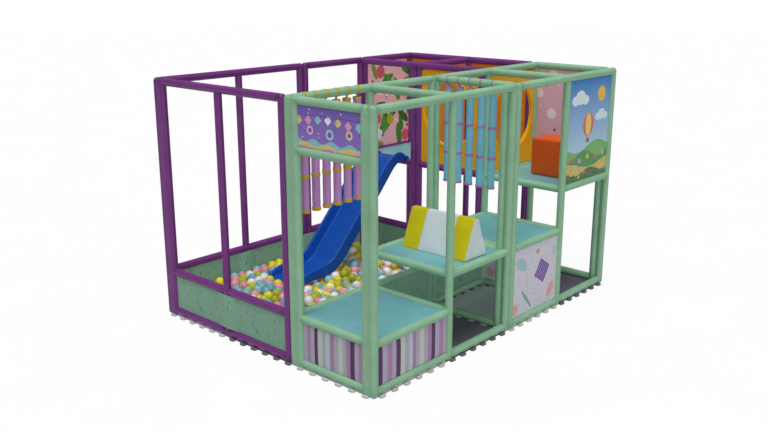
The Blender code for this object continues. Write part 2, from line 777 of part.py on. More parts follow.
def slide_stations():
    """The slide from its lip over the deck rail down to the nose of its run-out."""
    y = Y_THIRD + SLIDE_HOLD
    z = HIGH_DECK_Z + SLEEVE_RADIUS + FIT
    bends = SLIDE_TOP_BEND * (1 - math.cos(SLIDE_ANGLE))
    bends += SLIDE_LOW_BEND * (math.cos(SLIDE_EXIT_ANGLE) - math.cos(SLIDE_ANGLE))
    exit_drop = SLIDE_EXIT_LENGTH * math.sin(SLIDE_EXIT_ANGLE)
    straight = (z - SLIDE_EXIT_Z - bends - exit_drop) / math.sin(SLIDE_ANGLE)
    moves = slide_moves(SLIDE_LIP, 0, SLIDE_RUN_STEPS)
    moves += slide_moves(SLIDE_TOP_BEND * SLIDE_ANGLE, SLIDE_ANGLE, SLIDE_BEND_STEPS)
    moves += slide_moves(straight, 0, SLIDE_RUN_STEPS)
    flattening = SLIDE_ANGLE - SLIDE_EXIT_ANGLE
    moves += slide_moves(SLIDE_LOW_BEND * flattening, -flattening, SLIDE_BEND_STEPS)
    moves += slide_moves(SLIDE_EXIT_LENGTH, 0, SLIDE_RUN_STEPS)
    moves += slide_moves(SLIDE_NOSE_BEND * SLIDE_NOSE_ANGLE, SLIDE_NOSE_ANGLE, SLIDE_NOSE_STEPS)
    total = sum(length for length, turn in moves)
    travelled = 0.0
    fall = 0.0
    stations = []
    for length, turn in [(0, 0)] + moves:
        fall += turn / 2
        y -= length * math.cos(fall)
        z -= length * math.sin(fall)
        fall += turn / 2
        travelled += length
        left = total - travelled
        start_rise = wall_share(WALL_START_SHARES, travelled - SLIDE_LIP / 2, SLIDE_LIP, SLIDE_TOP_BEND)
        end_rise = wall_share(WALL_END_SHARES, left, 3 * SLIDE_NOSE_BEND, 2 * SLIDE_EXIT_LENGTH)
        wall = SLIDE_WALL * start_rise * end_rise
        skirt_end = SKIRT_END_SHARES[0] + SKIRT_END_SHARES[1] * ramp(left / (2 * SLIDE_EXIT_LENGTH))
        skirt = SLIDE_SKIRT * ramp((travelled - SKIRT_START) / SLIDE_TOP_BEND) * skirt_end
        width = 1 - SLIDE_NOSE_NARROWING * (1 - ramp(left / (2 * SLIDE_NOSE_BEND)))
        stations.append(Station(y, z, fall, wall, skirt, width))
    return stations


def slide_section(station):
    """Half the slide's section at a station, from the bed's middle to the outer skirt's edge."""
    outer = SLIDE_WIDTH / 2 * station.width - SLIDE_SHELL
    rim_x = outer - SLIDE_RIM
    lean = math.pi / 2 - SLIDE_FLARE
    foot = rim_x - SLIDE_RIM - station.wall * math.tan(SLIDE_FLARE)
    corner = min(SLIDE_CORNER, station.wall / 2)
    centre = foot - corner
    points = [(0.0, 0.0)]
    for step in range(4):
        angle = lean * step / 3
        points.append((centre + corner * math.sin(angle), corner - corner * math.cos(angle)))
    rim_z = station.wall - SLIDE_RIM
    for step in range(5):
        angle = math.pi * (1 - step / 4)
        points.append((rim_x + SLIDE_RIM * math.cos(angle), rim_z + SLIDE_RIM * math.sin(angle)))
    points.append((outer, -station.skirt))
    return points


def build_slide(material, collection):
    """The moulded slide: a mirrored half shell lofted down its bends, with returned outer walls."""
    bm = bmesh.new()
    rows = []
    for station in slide_stations():
        along = Vector((0, -math.cos(station.fall), -math.sin(station.fall)))
        up = Vector((0, along.z, -along.y))
        base = Vector((0, station.y, station.z))
        row = [bm.verts.new(base + Vector((x, 0, 0)) + up * height) for x, height in slide_section(station)]
        rows.append(row)
    for row, following in zip(rows, rows[1:]):
        for number in range(len(row) - 1):
            bm.faces.new((row[number], row[number + 1], following[number + 1], following[number]))
    mesh = mesh_from(bm, "slide")
    obj = add_object("slide", mesh, material, collection, (SLIDE_X, 0, 0))
    mirror = obj.modifiers.new("other_half", "MIRROR")
    mirror.use_axis = (True, False, False)
    mirror.merge_threshold = 0.0001
    shell = obj.modifiers.new("shell", "SOLIDIFY")
    shell.thickness = SLIDE_SHELL
    shell.offset = -1.0
    shell.use_even_offset = True


def slide_pocket_points():
    """The side outline of the room that the slide takes up inside the balls."""
    depth = SLIDE_SHELL + SLIDE_SKIRT + SLIDE_CLEARANCE
    points = []
    stations = slide_stations()
    nose = stations[-1]
    for station in stations[:-SLIDE_NOSE_STEPS]:
        down = Vector((math.sin(station.fall), -math.cos(station.fall)))
        points.append(Vector((station.y, station.z)) + down * depth)
    tip_y = nose.y - nose.wall - SLIDE_SHELL - SLIDE_CLEARANCE
    tip_z = min(points[-1].y, nose.z - SLIDE_SHELL - SLIDE_CLEARANCE)
    points[-1].y = tip_z
    return [Vector((points[0].x, TOP_Z)), *points, Vector((tip_y, tip_z)), Vector((tip_y, TOP_Z))]


# Ball filling


def build_ball_bed(material, collection, cutters):
    """The heaped mass of loose balls, with room left where the slide runs into it."""
    left = X_LEFT + SLEEVE_RADIUS + FIT
    right = X_TOWER - SLEEVE_RADIUS - FIT
    front = Y_FRONT + SLEEVE_RADIUS + FIT
    rear = Y_THIRD - SLEEVE_RADIUS - FIT
    bm = bmesh.new()
    bmesh.ops.create_grid(
        bm,
        x_segments=round((right - left) / BALL_CELL),
        y_segments=round((rear - front) / BALL_CELL),
        size=0.5,
        matrix=Matrix.Diagonal((right - left, rear - front, 1, 1)),
    )
    for vert in bm.verts:
        swell = math.sin(HEAP_WAVES_ACROSS * vert.co.x + HEAP_SHIFT) * math.cos(HEAP_WAVES_ALONG * vert.co.y)
        ripple = RIPPLE_SHARE * math.sin(RIPPLES_ALONG * vert.co.y)
        vert.co.z = BALL_FILL_Z + BALL_HEAP * (swell + ripple)
    top = list(bm.faces)
    base = bmesh.ops.extrude_face_region(bm, geom=top)
    for item in base["geom"]:
        if isinstance(item, bmesh.types.BMVert):
            item.co.z = FLOOR_Z + FIT
    bmesh.ops.dissolve_limit(bm, angle_limit=math.radians(0.5), verts=bm.verts, edges=bm.edges)
    bmesh.ops.recalc_face_normals(bm, faces=bm.faces)
    place = ((left + right) / 2, (front + rear) / 2, 0)
    obj = add_object("ball_bed", mesh_from(bm, "ball_bed"), material, collection, place)
    width = SLIDE_WIDTH + 2 * SLIDE_CLEARANCE
    pocket = outline_mesh("slide_pocket", slide_pocket_points(), width)
    turn = (math.pi / 2, 0, math.pi / 2)
    cut_with(obj, add_cutter("slide_pocket", pocket, cutters, (SLIDE_X, 0, 0), turn))


# Foam toys


def build_ridge(material, collection):
    """The foam ridge to climb over, with a narrow flat top."""
    points = (
        (-RIDGE_BASE / 2, 0),
        (RIDGE_BASE / 2, 0),
        (RIDGE_TOP / 2, RIDGE_HEIGHT),
        (-RIDGE_TOP / 2, RIDGE_HEIGHT),
    )
    mesh = outline_mesh("foam_ridge", points, RIDGE_LENGTH)
    place = (
        X_RIGHT - SLEEVE_RADIUS - RIDGE_INSET_RIGHT - RIDGE_LENGTH / 2,
        Y_FIRST + RIDGE_Y_OFFSET,
        SECOND_DECK_Z + DECK_RISE + FIT,
    )
    turn = (math.pi / 2, 0, math.pi / 2)
    add_bevel(add_object("foam_ridge", mesh, material, collection, place, turn), RIDGE_EDGE)


def build_cube(material, collection):
    """The loose foam cube on the high deck."""
    mesh = box_mesh("foam_cube", (CUBE_SIZE, CUBE_SIZE, CUBE_SIZE))
    place = (
        X_RIGHT - CUBE_INSET_RIGHT - CUBE_SIZE / 2,
        Y_THIRD + CUBE_INSET_FRONT + CUBE_SIZE / 2,
        HIGH_DECK_Z + DECK_RISE + FIT + CUBE_SIZE / 2,
    )
    add_bevel(add_object("foam_cube", mesh, material, collection, place), RIDGE_EDGE)


# Hanging bags


def bag_mesh(name):
    """A hanging bag and its strap loop, with the rail's axis along Y through the origin."""
    inner = (SLEEVE_RADIUS + FIT) / math.cos(math.pi / SLEEVE_SIDES)
    outer = inner + STRAP_THICKNESS
    level = Matrix.Rotation(math.pi / 2, 4, "X") @ Matrix.Rotation(math.pi / SLEEVE_SIDES, 4, "Z")
    bm = bmesh.new()
    place = Matrix.Translation((0, 0, -BAG_TOP_DROP - BAG_LENGTH / 2))
    bmesh.ops.create_cone(
        bm,
        cap_ends=True,
        segments=SLEEVE_SIDES,
        radius1=BAG_RADIUS,
        radius2=BAG_RADIUS,
        depth=BAG_LENGTH,
        matrix=place,
    )
    rims = [edge for edge in bm.edges if abs(edge.verts[0].co.z - edge.verts[1].co.z) < FIT]
    bmesh.ops.bevel(bm, geom=rims, offset=BAG_EDGE, segments=2, profile=0.5, affect="EDGES", material=-1)
    body = mesh_from(bm, name)
    bm = bmesh.new()
    bmesh.ops.create_cone(
        bm,
        cap_ends=True,
        segments=SLEEVE_SIDES,
        radius1=outer,
        radius2=outer,
        depth=STRAP_WIDTH,
        matrix=level,
    )
    loop = mesh_from(bm, "loop")
    bm = bmesh.new()
    neck_top = -inner
    neck_foot = -BAG_TOP_DROP - BAG_EDGE
    bmesh.ops.create_cube(
        bm,
        size=1,
        matrix=Matrix.Translation((0, 0, (neck_top + neck_foot) / 2))
        @ Matrix.Diagonal((STRAP_WIDTH / 2, STRAP_WIDTH - 2 * FIT, neck_top - neck_foot, 1)),
    )
    neck = mesh_from(bm, "neck")
    bm = bmesh.new()
    bmesh.ops.create_cone(
        bm,
        cap_ends=True,
        segments=SLEEVE_SIDES,
        radius1=inner,
        radius2=inner,
        depth=3 * STRAP_WIDTH,
        matrix=level,
    )
    bore = mesh_from(bm, "bore")
    joined = apply_boolean(body, [loop, neck], "UNION")
    return merge_flat_faces(apply_boolean(joined, [bore], "DIFFERENCE"))


def build_bags(material_pink, material_blue, collection):
    """The two rows of hanging bags, each with its origin on the rail that carries it."""
    span = Y_FIRST - Y_FRONT - PINK_INSET_NEAR - PINK_INSET_FAR
    for number in range(PINK_BAGS):
        y = Y_FRONT + PINK_INSET_NEAR + span * number / (PINK_BAGS - 1)
        name = f"pink_bag_{number + 1}"
        add_object(name, bag_mesh(name), material_pink, collection, (X_TOWER, y, TOP_Z))
    span = TOWER_WIDTH - BLUE_INSET_TOWER - BLUE_INSET_RIGHT
    for number in range(BLUE_BAGS):
        x = X_TOWER + BLUE_INSET_TOWER + span * number / (BLUE_BAGS - 1)
        name = f"blue_bag_{number + 1}"
        place = (x, Y_SECOND_TWIN, TOP_Z)
        add_object(name, bag_mesh(name), material_blue, collection, place, (0, 0, math.pi / 2))


def main():
    """Builds every piece of the play frame."""
    clear_scene()
    pieces = make_collection("ball_pit")
    cutters = make_collection("ball_pit_cutters")
    cutters.hide_render = True

    green = make_material("green_sleeve", "8CBE9B", 0.55)
    purple = make_material("purple_sleeve", "6E3C73", 0.55)
    build_frames(GREEN_FRAMES, green, pieces)
    build_frames(PURPLE_FRAMES, purple, pieces)
    build_floor_mat(make_material("foam_mat", "6A6770", 0.9), pieces)

    pit_vinyl = make_material("pit_vinyl", "6E9178", 0.5)
    for panel in PIT_WALLS:
        build_panel(panel, pit_vinyl, pieces)
    stripes = make_material("striped_vinyl", "918CA5", 0.5)
    build_panel(STRIPED_FRONT, stripes, pieces)
    build_panel(STRIPED_RIGHT, stripes, pieces)
    dots = make_material("dotted_vinyl", "D9D6E3", 0.5)
    build_panel(DOTTED_RIGHT, dots, pieces)
    build_panel(DOTTED_REAR, dots, pieces)
    build_panel(SIGN_PANEL, make_material("sign_vinyl", "8A6BB5", 0.5), pieces)
    build_panel(SKY_PANEL, make_material("sky_vinyl", "6FA9C4", 0.5), pieces)
    build_panel(PINK_PANEL, make_material("pink_vinyl", "B37D92", 0.5), pieces)
    build_panel(LEAF_PANEL, make_material("leaf_vinyl", "C08098", 0.5), pieces)
    orange = make_material("orange_vinyl", "D07A1E", 0.5)
    for panel in ORANGE_PANELS:
        build_panel(panel, orange, pieces)
    mustard = make_material("mustard_vinyl", "B98A2A", 0.5)
    build_crawl_panel(CRAWL_FRONT, mustard, pieces, cutters)
    build_crawl_panel(CRAWL_SIDE, mustard, pieces, cutters)
    rim = make_material("rim_vinyl", "D9A441", 0.5)
    build_crawl_rim("crawl_rim_front", CRAWL_FRONT, 1, rim, pieces)
    build_crawl_rim("crawl_rim_side", CRAWL_SIDE, 1, rim, pieces)

    teal = make_material("teal_vinyl", "699BA0", 0.5)
    for deck in DECKS:
        build_deck(deck, teal, pieces)
    build_slide(make_material("blue_plastic", "0050B4", 0.35), pieces)
    build_ball_bed(make_material("ball_plastic", "D7A0B0", 0.4), pieces, cutters)
    build_ridge(make_material("ridge_vinyl", "C8B90A", 0.5), pieces)
    build_cube(make_material("cube_vinyl", "C85014", 0.5), pieces)
    pink = make_material("pink_bag_vinyl", "96699B", 0.5)
    blue = make_material("blue_bag_vinyl", "558CA5", 0.5)
    build_bags(pink, blue, pieces)


main()
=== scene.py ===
"""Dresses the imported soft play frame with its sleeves, padded boards, slide, balls and toys.

Every piece is built in the frame's own space: metres, +Z up, +X towards the open side with the
play decks, +Y from the entrance end to the rear end.
"""

import logging
import math
import random
from collections.abc import Callable
from dataclasses import dataclass, field
from enum import Enum
from itertools import product

import bmesh
import bpy
import numpy as np
from mathutils import Matrix, Vector
from mathutils.kdtree import KDTree


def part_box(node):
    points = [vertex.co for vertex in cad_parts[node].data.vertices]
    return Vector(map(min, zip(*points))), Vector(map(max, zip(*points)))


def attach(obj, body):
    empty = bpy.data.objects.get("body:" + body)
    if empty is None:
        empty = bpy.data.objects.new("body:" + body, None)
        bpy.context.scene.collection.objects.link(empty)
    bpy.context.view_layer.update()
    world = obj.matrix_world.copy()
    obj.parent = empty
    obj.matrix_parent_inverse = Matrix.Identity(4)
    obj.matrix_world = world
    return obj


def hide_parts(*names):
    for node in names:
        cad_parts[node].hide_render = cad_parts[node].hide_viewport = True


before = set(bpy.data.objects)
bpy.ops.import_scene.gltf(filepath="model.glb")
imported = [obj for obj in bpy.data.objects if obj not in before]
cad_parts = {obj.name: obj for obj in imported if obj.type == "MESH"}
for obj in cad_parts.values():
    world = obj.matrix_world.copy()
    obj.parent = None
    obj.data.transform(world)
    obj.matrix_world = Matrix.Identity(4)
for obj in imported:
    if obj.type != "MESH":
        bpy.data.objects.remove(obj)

Material, Object = bpy.types.Material, bpy.types.Object
Tree, Node, Socket = bpy.types.NodeTree, bpy.types.Node, bpy.types.NodeSocket
Mesh, Vert = bmesh.types.BMesh, bmesh.types.BMVert
Place = tuple[float, float]

log = logging.getLogger("play_frame")

STEADY = "frame"
MERGE = 0.00002

# How far a print is stretched through its board, so that it is the same on both faces
THROUGH = 1000.0

# Tubes, in metres
SLEEVE_RADIUS = 0.040
TWIN_PITCH = 0.085
LOW_Z = 0.0603
FIRST_DECK_Z = 0.505
SECOND_DECK_Z = 0.875
HIGH_DECK_Z = 1.340
SIGN_Z = 2.095
TOP_Z = 2.540
FLOOR_Z = 0.0203
RAIL_LAP = 0.0105

X_RIGHT = 1.5
X_RIGHT_TWIN = X_RIGHT - TWIN_PITCH
X_TOWER = 0.49
X_TOWER_TWIN = X_TOWER + TWIN_PITCH
X_PIT = X_TOWER - TWIN_PITCH
X_MIDDLE = -0.51
X_MIDDLE_TWIN = X_MIDDLE - TWIN_PITCH
X_LEFT = -1.5
X_LEFT_TWIN = X_LEFT + TWIN_PITCH
Y_FRONT = -2.0
Y_FIRST = -0.95
Y_SECOND = 0.0
Y_SECOND_TWIN = TWIN_PITCH
Y_THIRD = 1.015
Y_THIRD_TWIN = Y_THIRD + TWIN_PITCH
Y_REAR = 2.0
Y_LEFT_JOINT = -0.03
Y_LEFT_JOINT_TWIN = Y_LEFT_JOINT + TWIN_PITCH


# Colours and shader trees


def linear(colour: str) -> tuple[float, float, float, float]:
    """Turns an sRGB hex colour into linear light.

    Args:
        colour: Six hex digits.

    Returns:
        Red, green, blue and an alpha of 1.
    """
    channels = []
    for start in (0, 2, 4):
        value = int(colour[start : start + 2], 16) / 255
        channels.append(value / 12.92 if value <= 0.04045 else ((value + 0.055) / 1.055) ** 2.4)
    return (*channels, 1.0)


def add_node(tree: Tree, kind: str, links: dict | None = None, **settings) -> Node:
    """Adds one shader node.

    Args:
        tree: The node tree that takes it.
        kind: The node type's name after "ShaderNode".
        links: For each input socket, by name or number, what feeds it: a socket, a node by its first
            output, or a plain value.
        settings: The node's own settings.

    Returns:
        The new node.
    """
    node = tree.nodes.new("ShaderNode" + kind)
    for key, value in settings.items():
        setattr(node, key, value)
    for key, source in (links or {}).items():
        if isinstance(source, Node):
            source = source.outputs[0]
        if isinstance(source, Socket):
            tree.links.new(source, node.inputs[key])
        else:
            node.inputs[key].default_value = source
    return node


def fill_ramp(node: Node, stops: list[tuple[float, str]], interpolation: str = "LINEAR") -> None:
    """Sets a colour ramp's stops.

    Args:
        node: The colour ramp node.
        stops: Position and hex colour of each stop, in rising order.
        interpolation: How the ramp runs between its stops.
    """
    elements = node.color_ramp.elements
    node.color_ramp.interpolation = interpolation
    while len(elements) > 1:
        elements.remove(elements[-1])
    elements[0].position, elements[0].color = stops[0][0], linear(stops[0][1])
    for position, colour in stops[1:]:
        elements.new(position).color = linear(colour)


@dataclass(frozen=True)
class Finish:
    """A real material's finish: its colour, and the tone that it varies to."""

    name: str
    colour: str
    tone: str

    def start(self, roughness: float, **sockets: float) -> tuple[Material, Tree, Node, Socket]:
        """Starts the material with a Principled shader.

        Args:
            roughness: The shader's roughness.
            sockets: Further shader inputs, with underscores for spaces.

        Returns:
            The material, its node tree, its shader and the object's own coordinates.
        """
        material = bpy.data.materials.new(self.name)
        material.use_nodes = True
        tree = material.node_tree
        shader = tree.nodes["Principled BSDF"]
        for key, value in {"Roughness": roughness, **sockets}.items():
            shader.inputs[key.replace("_", " ")].default_value = value
        return material, tree, shader, add_node(tree, "TexCoord").outputs["Object"]

    def coat(self, tree: Tree, shader: Node, value: Node | Socket, low: float, high: float) -> None:
        """Colours the shader by a pattern.

        Args:
            tree: The material's tree.
            shader: Its shader.
            value: The pattern.
            low: Where it shows the tone.
            high: Where it shows the colour.
        """
        coat = add_node(tree, "ValToRGB", {"Fac": value})
        fill_ramp(coat, [(low, self.tone), (high, self.colour)])
        tree.links.new(coat.outputs["Color"], shader.inputs["Base Color"])


@dataclass(frozen=True)
class CoatedVinyl(Finish):
    """PVC-coated cloth, embossed with a fine leather grain: an even satin skin with soft creases.

    The grain is about 1 mm on the real cloth. It is drawn at 4 mm, because finer would not show.
    """

    roughness: float = 0.5
    crease_mm: float = 160.0
    crease: float = 0.25

    def base(self) -> tuple[Material, Tree, Node, Socket]:
        """The vinyl without its colour.

        Returns:
            The material, its node tree, its shader and the object's own coordinates.
        """
        material, tree, shader, place = self.start(self.roughness, IOR=1.5, Specular_IOR_Level=0.4)
        links = {"Vector": place, "Scale": 1000 / self.crease_mm, "Detail": 3.0, "Roughness": 0.6}
        folds = add_node(tree, "TexNoise", links)
        grain = add_node(tree, "TexVoronoi", {"Vector": place, "Scale": 1000 / 4.0}, feature="SMOOTH_F1")
        soft = add_node(tree, "Bump", {"Height": folds, "Strength": self.crease, "Distance": 0.012})
        fine = add_node(tree, "Bump", {"Height": grain, "Normal": soft, "Strength": 0.12, "Distance": 0.0006})
        matt = {"To Min": self.roughness - 0.07, "To Max": self.roughness + 0.08}
        rub = add_node(tree, "MapRange", {"Value": folds, "From Min": 0.3, "From Max": 0.7, **matt})
        tree.links.new(fine.outputs["Normal"], shader.inputs["Normal"])
        tree.links.new(rub.outputs["Result"], shader.inputs["Roughness"])
        return material, tree, shader, place

    def material(self) -> Material:
        """The plain vinyl, mottled between its colour and its tone.

        Returns:
            The material.
        """
        material, tree, shader, place = self.base()
        cloud = add_node(tree, "TexNoise", {"Vector": place, "Scale": 3.5, "Detail": 4.0, "Roughness": 0.55})
        self.coat(tree, shader, cloud, 0.32, 0.62)
        return material


@dataclass(frozen=True)
class SleeveVinyl(CoatedVinyl):
    """The tubes' zipped vinyl sleeves, drawn tight over foam: pleats at the ends and one welted seam.

    Its pattern follows the sleeve's own UV map, in metres: around it, and along it from the nearer end.
    """

    # The seam's colour, which each end is also darkened towards
    seam: str = "5A8A6A"
    pleats: int = 9

    def material(self) -> Material:
        """The sleeve's vinyl with its seam and pleats.

        Returns:
            The material.
        """
        material, tree, shader, place = self.base()
        parts = add_node(tree, "SeparateXYZ", {"Vector": add_node(tree, "UVMap", uv_map="sleeve")})
        around, along = parts.outputs["X"], parts.outputs["Y"]
        cloud = add_node(tree, "TexNoise", {"Vector": place, "Scale": 4.0, "Detail": 4.0, "Roughness": 0.6})
        ground = add_node(tree, "ValToRGB", {"Fac": cloud})
        fill_ramp(ground, [(0.3, self.tone), (0.62, self.colour)])
        fade = {"To Min": 1.0, "To Max": 0.0}
        off = add_node(tree, "Math", {0: around}, operation="ABSOLUTE")
        line = add_node(tree, "MapRange", {"Value": off, "From Min": 0.0012, "From Max": 0.0035, **fade})
        # Near each end, the vinyl is darkened partway towards the seam colour
        near_end = add_node(tree, "MapRange", {"Value": along, "From Min": 0.0, "From Max": 0.05, **fade})
        end_darkening = add_node(tree, "Math", {0: near_end, 1: 0.35}, operation="MULTIPLY")
        shade = add_node(tree, "Math", {0: line, 1: end_darkening}, operation="MAXIMUM")
        colour = add_node(tree, "Mix", {0: shade, 6: ground, 7: linear(self.seam)}, data_type="RGBA")
        turn = add_node(tree, "Math", {0: around, 1: self.pleats / SLEEVE_RADIUS}, operation="MULTIPLY")
        wave = add_node(tree, "Math", {0: turn}, operation="SINE")
        pleat = add_node(tree, "Math", {0: wave, 1: near_end}, operation="MULTIPLY")
        relief = add_node(tree, "Math", {0: pleat, 1: line}, operation="ADD")
        under = shader.inputs["Normal"].links[0].from_socket
        bump = add_node(tree, "Bump", {"Height": relief, "Normal": under, "Strength": 0.5, "Distance": 0.0015})
        tree.links.new(colour.outputs[2], shader.inputs["Base Color"])
        tree.links.new(bump.outputs["Normal"], shader.inputs["Normal"])
        return material


class Plane(Enum):
    """The upright plane that a board stands in, as its turn."""

    XZ = (0.0, 0.0, 0.0)
    YZ = (0.0, 0.0, math.pi / 2)


class Shape(Enum):
    """What a printed motif is."""

    DISC = "disc"
    BOX = "box"
    HILL = "hill"


@dataclass(frozen=True)
class Motif:
    """One printed shape: its centre and half sizes in metres on the board, its colour and its turn."""

    shape: Shape
    x: float
    z: float
    half_width: float
    half_height: float
    colour: str
    turn: float = 0.0


@dataclass(frozen=True)
class Dashes:
    """A scatter of small printed dashes: their spacing and size in metres, and their turn."""

    ink: str
    cell: float
    long: float
    short: float
    turn: float


@dataclass(frozen=True)
class PrintedVinyl(CoatedVinyl):
    """Vinyl with a printed design, laid on in flat inks: a ground, stripes, confetti and larger shapes."""

    plane: Plane = Plane.XZ
    centre: tuple[float, float, float] = (0.0, 0.0, 0.0)
    half_height: float = 0.5
    stripes: tuple[tuple[float, str], ...] = ()
    confetti: tuple[Dashes, ...] = ()
    motifs: tuple[Motif, ...] = ()

    def material(self) -> Material:
        """The printed vinyl. The ground runs from its tone below to its colour above.

        Returns:
            The material.
        """
        material, tree, shader, place = self.base()
        links = {"Vector": place, "Location": self.centre, "Rotation": self.plane.value}
        flat = add_node(tree, "Mapping", links, vector_type="TEXTURE")
        parts = add_node(tree, "SeparateXYZ", {"Vector": flat})
        across, up = parts.outputs["X"], parts.outputs["Z"]
        rise = add_node(tree, "MapRange", {"Value": up, "From Min": -self.half_height, "From Max": self.half_height})
        links = {0: rise, 6: linear(self.tone), 7: linear(self.colour)}
        colour = add_node(tree, "Mix", links, data_type="RGBA").outputs[2]
        if self.stripes:
            width = sum(stripe for stripe, _ink in self.stripes)
            spread = add_node(tree, "MapRange", {"Value": across, "From Min": -width / 2, "From Max": width / 2})
            striping = add_node(tree, "ValToRGB", {"Fac": spread})
            stops, edge = [], 0.0
            for stripe, ink in self.stripes:
                stops.append((edge / width, ink))
                edge += stripe
            fill_ramp(striping, stops, "CONSTANT")
            colour = striping.outputs["Color"]
        marks = [(dashes.ink, self.mark_dashes(tree, flat, dashes)) for dashes in self.confetti]
        marks += [(motif.colour, self.mark_motif(tree, flat, across, up, motif)) for motif in self.motifs]
        for ink, mark in marks:
            colour = add_node(tree, "Mix", {0: mark, 6: colour, 7: linear(ink)}, data_type="RGBA").outputs[2]
        tree.links.new(colour, shader.inputs["Base Color"])
        return material

    def mark_dashes(self, tree: Tree, flat: Node, dashes: Dashes) -> Node:
        """Marks where a scatter of dashes prints.

        Args:
            tree: The material's tree.
            flat: The node that gives the board's own coordinates.
            dashes: The scatter.

        Returns:
            The node that gives 1 on the dashes and 0 elsewhere.
        """
        stretch = dashes.long / dashes.short
        spacing = dashes.cell * math.sqrt(stretch)
        links = {"Vector": flat, "Rotation": (0.0, dashes.turn, 0.0), "Scale": (1 / stretch, THROUGH, 1.0)}
        laid = add_node(tree, "Mapping", links, vector_type="TEXTURE")
        cells = add_node(tree, "TexVoronoi", {"Vector": laid, "Scale": 1 / spacing, "Randomness": 0.9})
        return add_node(tree, "Math", {0: cells, 1: dashes.long / 2 / spacing}, operation="LESS_THAN")

    def mark_motif(self, tree: Tree, flat: Node, across: Socket, up: Socket, motif: Motif) -> Node:
        """Marks where one motif prints.

        Args:
            tree: The material's tree.
            flat: The node that gives the board's own coordinates.
            across: The distance across the board.
            up: The height on the board.
            motif: What to print.

        Returns:
            The node that gives 1 on the motif and 0 elsewhere.
        """
        if motif.shape is Shape.HILL:
            links = {0: across, 1: math.pi / motif.half_width, 2: motif.x}
            swing = add_node(tree, "Math", links, operation="MULTIPLY_ADD")
            crest = add_node(tree, "Math", {0: swing}, operation="SINE")
            links = {0: crest, 1: motif.half_height, 2: motif.z}
            line = add_node(tree, "Math", links, operation="MULTIPLY_ADD")
            return add_node(tree, "Math", {0: up, 1: line}, operation="LESS_THAN")
        links = {
            "Vector": flat,
            "Location": (motif.x, 0.0, motif.z),
            "Rotation": (0.0, motif.turn, 0.0),
            "Scale": (motif.half_width, THROUGH, motif.half_height),
        }
        own = add_node(tree, "Mapping", links, vector_type="TEXTURE")
        if motif.shape is Shape.DISC:
            reach = add_node(tree, "VectorMath", {0: own}, operation="LENGTH").outputs["Value"]
        else:
            size = add_node(tree, "VectorMath", {0: own}, operation="ABSOLUTE")
            sides = add_node(tree, "SeparateXYZ", {"Vector": size}).outputs
            reach = add_node(tree, "Math", {0: sides["X"], 1: sides["Z"]}, operation="MAXIMUM")
        return add_node(tree, "Math", {0: reach, 1: 1.0}, operation="LESS_THAN")


@dataclass(frozen=True)
class EvaFoam(Finish):
    """Closed-cell EVA foam tile, moulded with a fine thatch: matt, a little lighter where it is rubbed.

    The real thatch is 3 mm. It is drawn at 9 mm to show.
    """

    def material(self) -> Material:
        """The foam with its moulded texture.

        Returns:
            The material.
        """
        material, tree, shader, place = self.start(0.85, IOR=1.45)
        thatch = add_node(tree, "TexVoronoi", {"Vector": place, "Scale": 1000 / 9.0, "Randomness": 0.6})
        links = {"Vector": place, "Scale": 1000 / 14.0, "Detail": 3.0, "Roughness": 0.7}
        self.coat(tree, shader, add_node(tree, "TexNoise", links), 0.35, 0.65)
        bump = add_node(tree, "Bump", {"Height": thatch, "Strength": 0.5, "Distance": 0.0015})
        tree.links.new(bump.outputs["Normal"], shader.inputs["Normal"])
        return material


@dataclass(frozen=True)
class MouldedPolyethylene(Finish):
    """Rotation-moulded polyethylene: a glossy skin with a faint orange peel, dulled along the run."""

    roughness: float = 0.3

    def material(self) -> Material:
        """The plastic with its sliding marks, which run down the bed along Y.

        Returns:
            The material.
        """
        material, tree, shader, place = self.start(self.roughness, IOR=1.51, Specular_IOR_Level=0.25)
        peel = add_node(tree, "TexNoise", {"Vector": place, "Scale": 1000 / 30.0, "Detail": 2.0})
        drawn = add_node(tree, "Mapping", {"Vector": place, "Scale": (26.0, 1.5, 1.5)})
        rubs = add_node(tree, "TexNoise", {"Vector": drawn, "Scale": 1.0, "Detail": 4.0, "Roughness": 0.7})
        worn = add_node(tree, "ValToRGB", {"Fac": rubs})
        fill_ramp(worn, [(0.42, self.colour), (0.8, self.tone)])
        matt = {"To Min": self.roughness - 0.03, "To Max": self.roughness + 0.07}
        dull = add_node(tree, "MapRange", {"Value": rubs, "From Min": 0.4, "From Max": 0.75, **matt})
        bump = add_node(tree, "Bump", {"Height": peel, "Strength": 0.10, "Distance": 0.002})
        tree.links.new(worn.outputs["Color"], shader.inputs["Base Color"])
        tree.links.new(dull.outputs["Result"], shader.inputs["Roughness"])
        tree.links.new(bump.outputs["Normal"], shader.inputs["Normal"])
        return material


@dataclass(frozen=True)
class BallPlastic(Finish):
    """Blow-moulded soft polyethylene: satin, slightly lit from within, each ball a shade of its own."""

    def material(self) -> Material:
        """The ball's plastic. The attribute "shade" holds one number for each ball.

        Returns:
            The material.
        """
        material, tree, shader, place = self.start(0.38, IOR=1.5, Subsurface_Weight=0.15, Subsurface_Scale=0.02)
        own = add_node(tree, "Attribute", attribute_name="shade")
        self.coat(tree, shader, own.outputs["Fac"], 0.0, 1.0)
        scuff = add_node(tree, "TexNoise", {"Vector": place, "Scale": 1000 / 18.0, "Detail": 3.0})
        bump = add_node(tree, "Bump", {"Height": scuff, "Strength": 0.1, "Distance": 0.002})
        tree.links.new(bump.outputs["Normal"], shader.inputs["Normal"])
        return material


